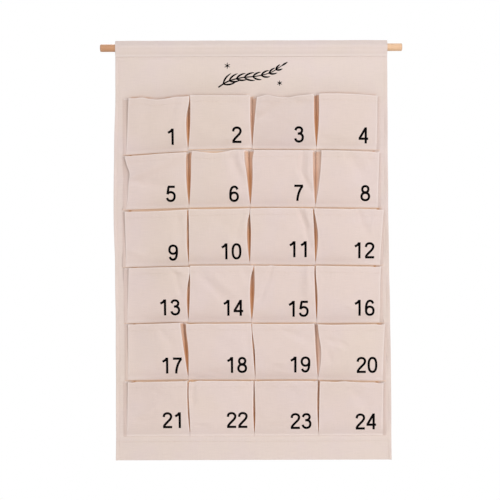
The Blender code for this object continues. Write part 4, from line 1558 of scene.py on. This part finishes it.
def sewSleeve():
    x = np.linspace(leftEdge(stitchZ), rightEdge(stitchZ), 200)
    lines = []
    for side in (-1, 1):
        y, z = np.full(200, side * (sleeve["tail"] + 0.0001)), np.full(200, stitchZ + 0.0004)
        lines.append(stitchRow(np.stack([x, y, z], axis=1), (0.0, side, 0.0), 0.003))
    return sewn("sleeve_thread", lines)


sleeveCloth = makeSleeve()
sleeveSeam = sewSleeve()
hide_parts("top_sleeve")
for piece in (sleeveCloth, sleeveSeam):
    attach(piece, "sleeve")
print("sleeve made")


# dowel: the solid's own shape, in sanded wood

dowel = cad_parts["dowel"]
for place in dowel.material_slots:
    place.material = dowelWood
if not dowel.material_slots:
    dowel.data.materials.append(dowelWood)


# floor, light and camera

studio = {
    "floorDrop": 1.15,
    "floorReach": 1.15,
    "floorThick": 0.02,
    "floorColour": fromScreen(240, 239, 237),
    "floorGrain": fromScreen(226, 224, 221),
    "ambient": 0.37,
    "ambientColour": (1.0, 0.95, 0.9),
    "aim": (0, 0, -0.4),
    "lamps": {                  # place, size, power, colour
        "key": ((1.25, -2.5, -0.55), 1.3, 30.8, (0.98, 1.0, 1.02)),
        "fill": ((-0.35, -2.75, 0.7), 1.5, 20.4, (0.98, 1.0, 1.02)),
        "ceiling": ((0.25, -1.1, 1.5), 1.2, 7.8, (0.8, 0.96, 1.22)),
        "back": ((-0.7, 2.2, 1.75), 1.4, 62.0, (0.94, 0.99, 1.06)),
    },
    "cameraPlace": (-0.0035, -2.342, -0.44),
    "cameraRise": 90.915,       # degrees up from straight down
    "cameraRoll": -0.19,
    "lens": 85,
}


def makeFloor():
    deselect()
    bpy.ops.mesh.primitive_circle_add(vertices=96, radius=studio["floorReach"], fill_type="NGON",
                                      location=(0, 0, -studio["floorDrop"]))
    floor = bpy.context.object
    floor.name = "floor"
    bpy.ops.object.mode_set(mode="EDIT")
    bpy.ops.mesh.select_all(action="SELECT")
    bpy.ops.mesh.extrude_region_move(TRANSFORM_OT_translate={"value": (0, 0, -studio["floorThick"])})
    faceOutwards()
    bpy.ops.object.transform_apply(location=True, rotation=True, scale=True)
    bench = Bench(bpy.data.materials.new("pale_floor"))
    grain = bench.noise(bench.onObject(), 60.0, 3.0)
    bench.set("Base Color", bench.mixColours(grain * 0.08, studio["floorColour"], studio["floorGrain"]))
    bench.set("Roughness", 0.8 + grain * 0.1)
    floor.data.materials.append(bench.owner)


def makeWorld():
    # white to the camera and in reflections, a soft warm light to all else
    world = bpy.data.worlds.new("studio")
    bpy.context.scene.world = world
    bench = Bench(world)
    bench.tree.nodes.clear()
    rays = bench.node("ShaderNodeLightPath", {})
    seen = rays["Is Camera Ray"].most(rays["Is Glossy Ray"]).most(rays["Is Transmission Ray"])
    ambient = {"Color": studio["ambientColour"], "Strength": studio["ambient"]}
    soft = bench.node("ShaderNodeBackground", ambient)
    white = bench.node("ShaderNodeBackground", {"Color": (1.0, 1.0, 1.0), "Strength": 1.0})
    shown = bench.node("ShaderNodeMixShader", {0: seen, 1: soft["Background"], 2: white["Background"]})
    bench.node("ShaderNodeOutputWorld", {"Surface": shown["Shader"]})


def addLamp(name, place, size, power, colour):
    deselect()
    aim = Vector(studio["aim"]) - Vector(place)
    turn = aim.to_track_quat("-Z", "Y").to_euler()
    bpy.ops.object.light_add(type="AREA", location=place, rotation=turn)
    lamp = bpy.context.object
    lamp.name = name
    lamp.data.shape = "SQUARE"
    lamp.data.size, lamp.data.energy, lamp.data.color = size, power, colour


def addCamera():
    deselect()
    bpy.ops.object.camera_add(location=studio["cameraPlace"])
    camera = bpy.context.object
    camera.data.lens, camera.data.sensor_width = studio["lens"], 36
    camera.data.clip_start, camera.data.clip_end = 0.05, 50
    rise, roll = math.radians(studio["cameraRise"]), math.radians(studio["cameraRoll"])
    camera.rotation_euler = (Matrix.Rotation(rise, 4, "X") @ Matrix.Rotation(roll, 4, "Z")).to_euler()
    bpy.context.scene.camera = camera


makeFloor()
makeWorld()
for name, values in studio["lamps"].items():
    addLamp(name, *values)
addCamera()
bpy.context.scene.view_settings.view_transform = "Standard"
print("floor, light and camera set")
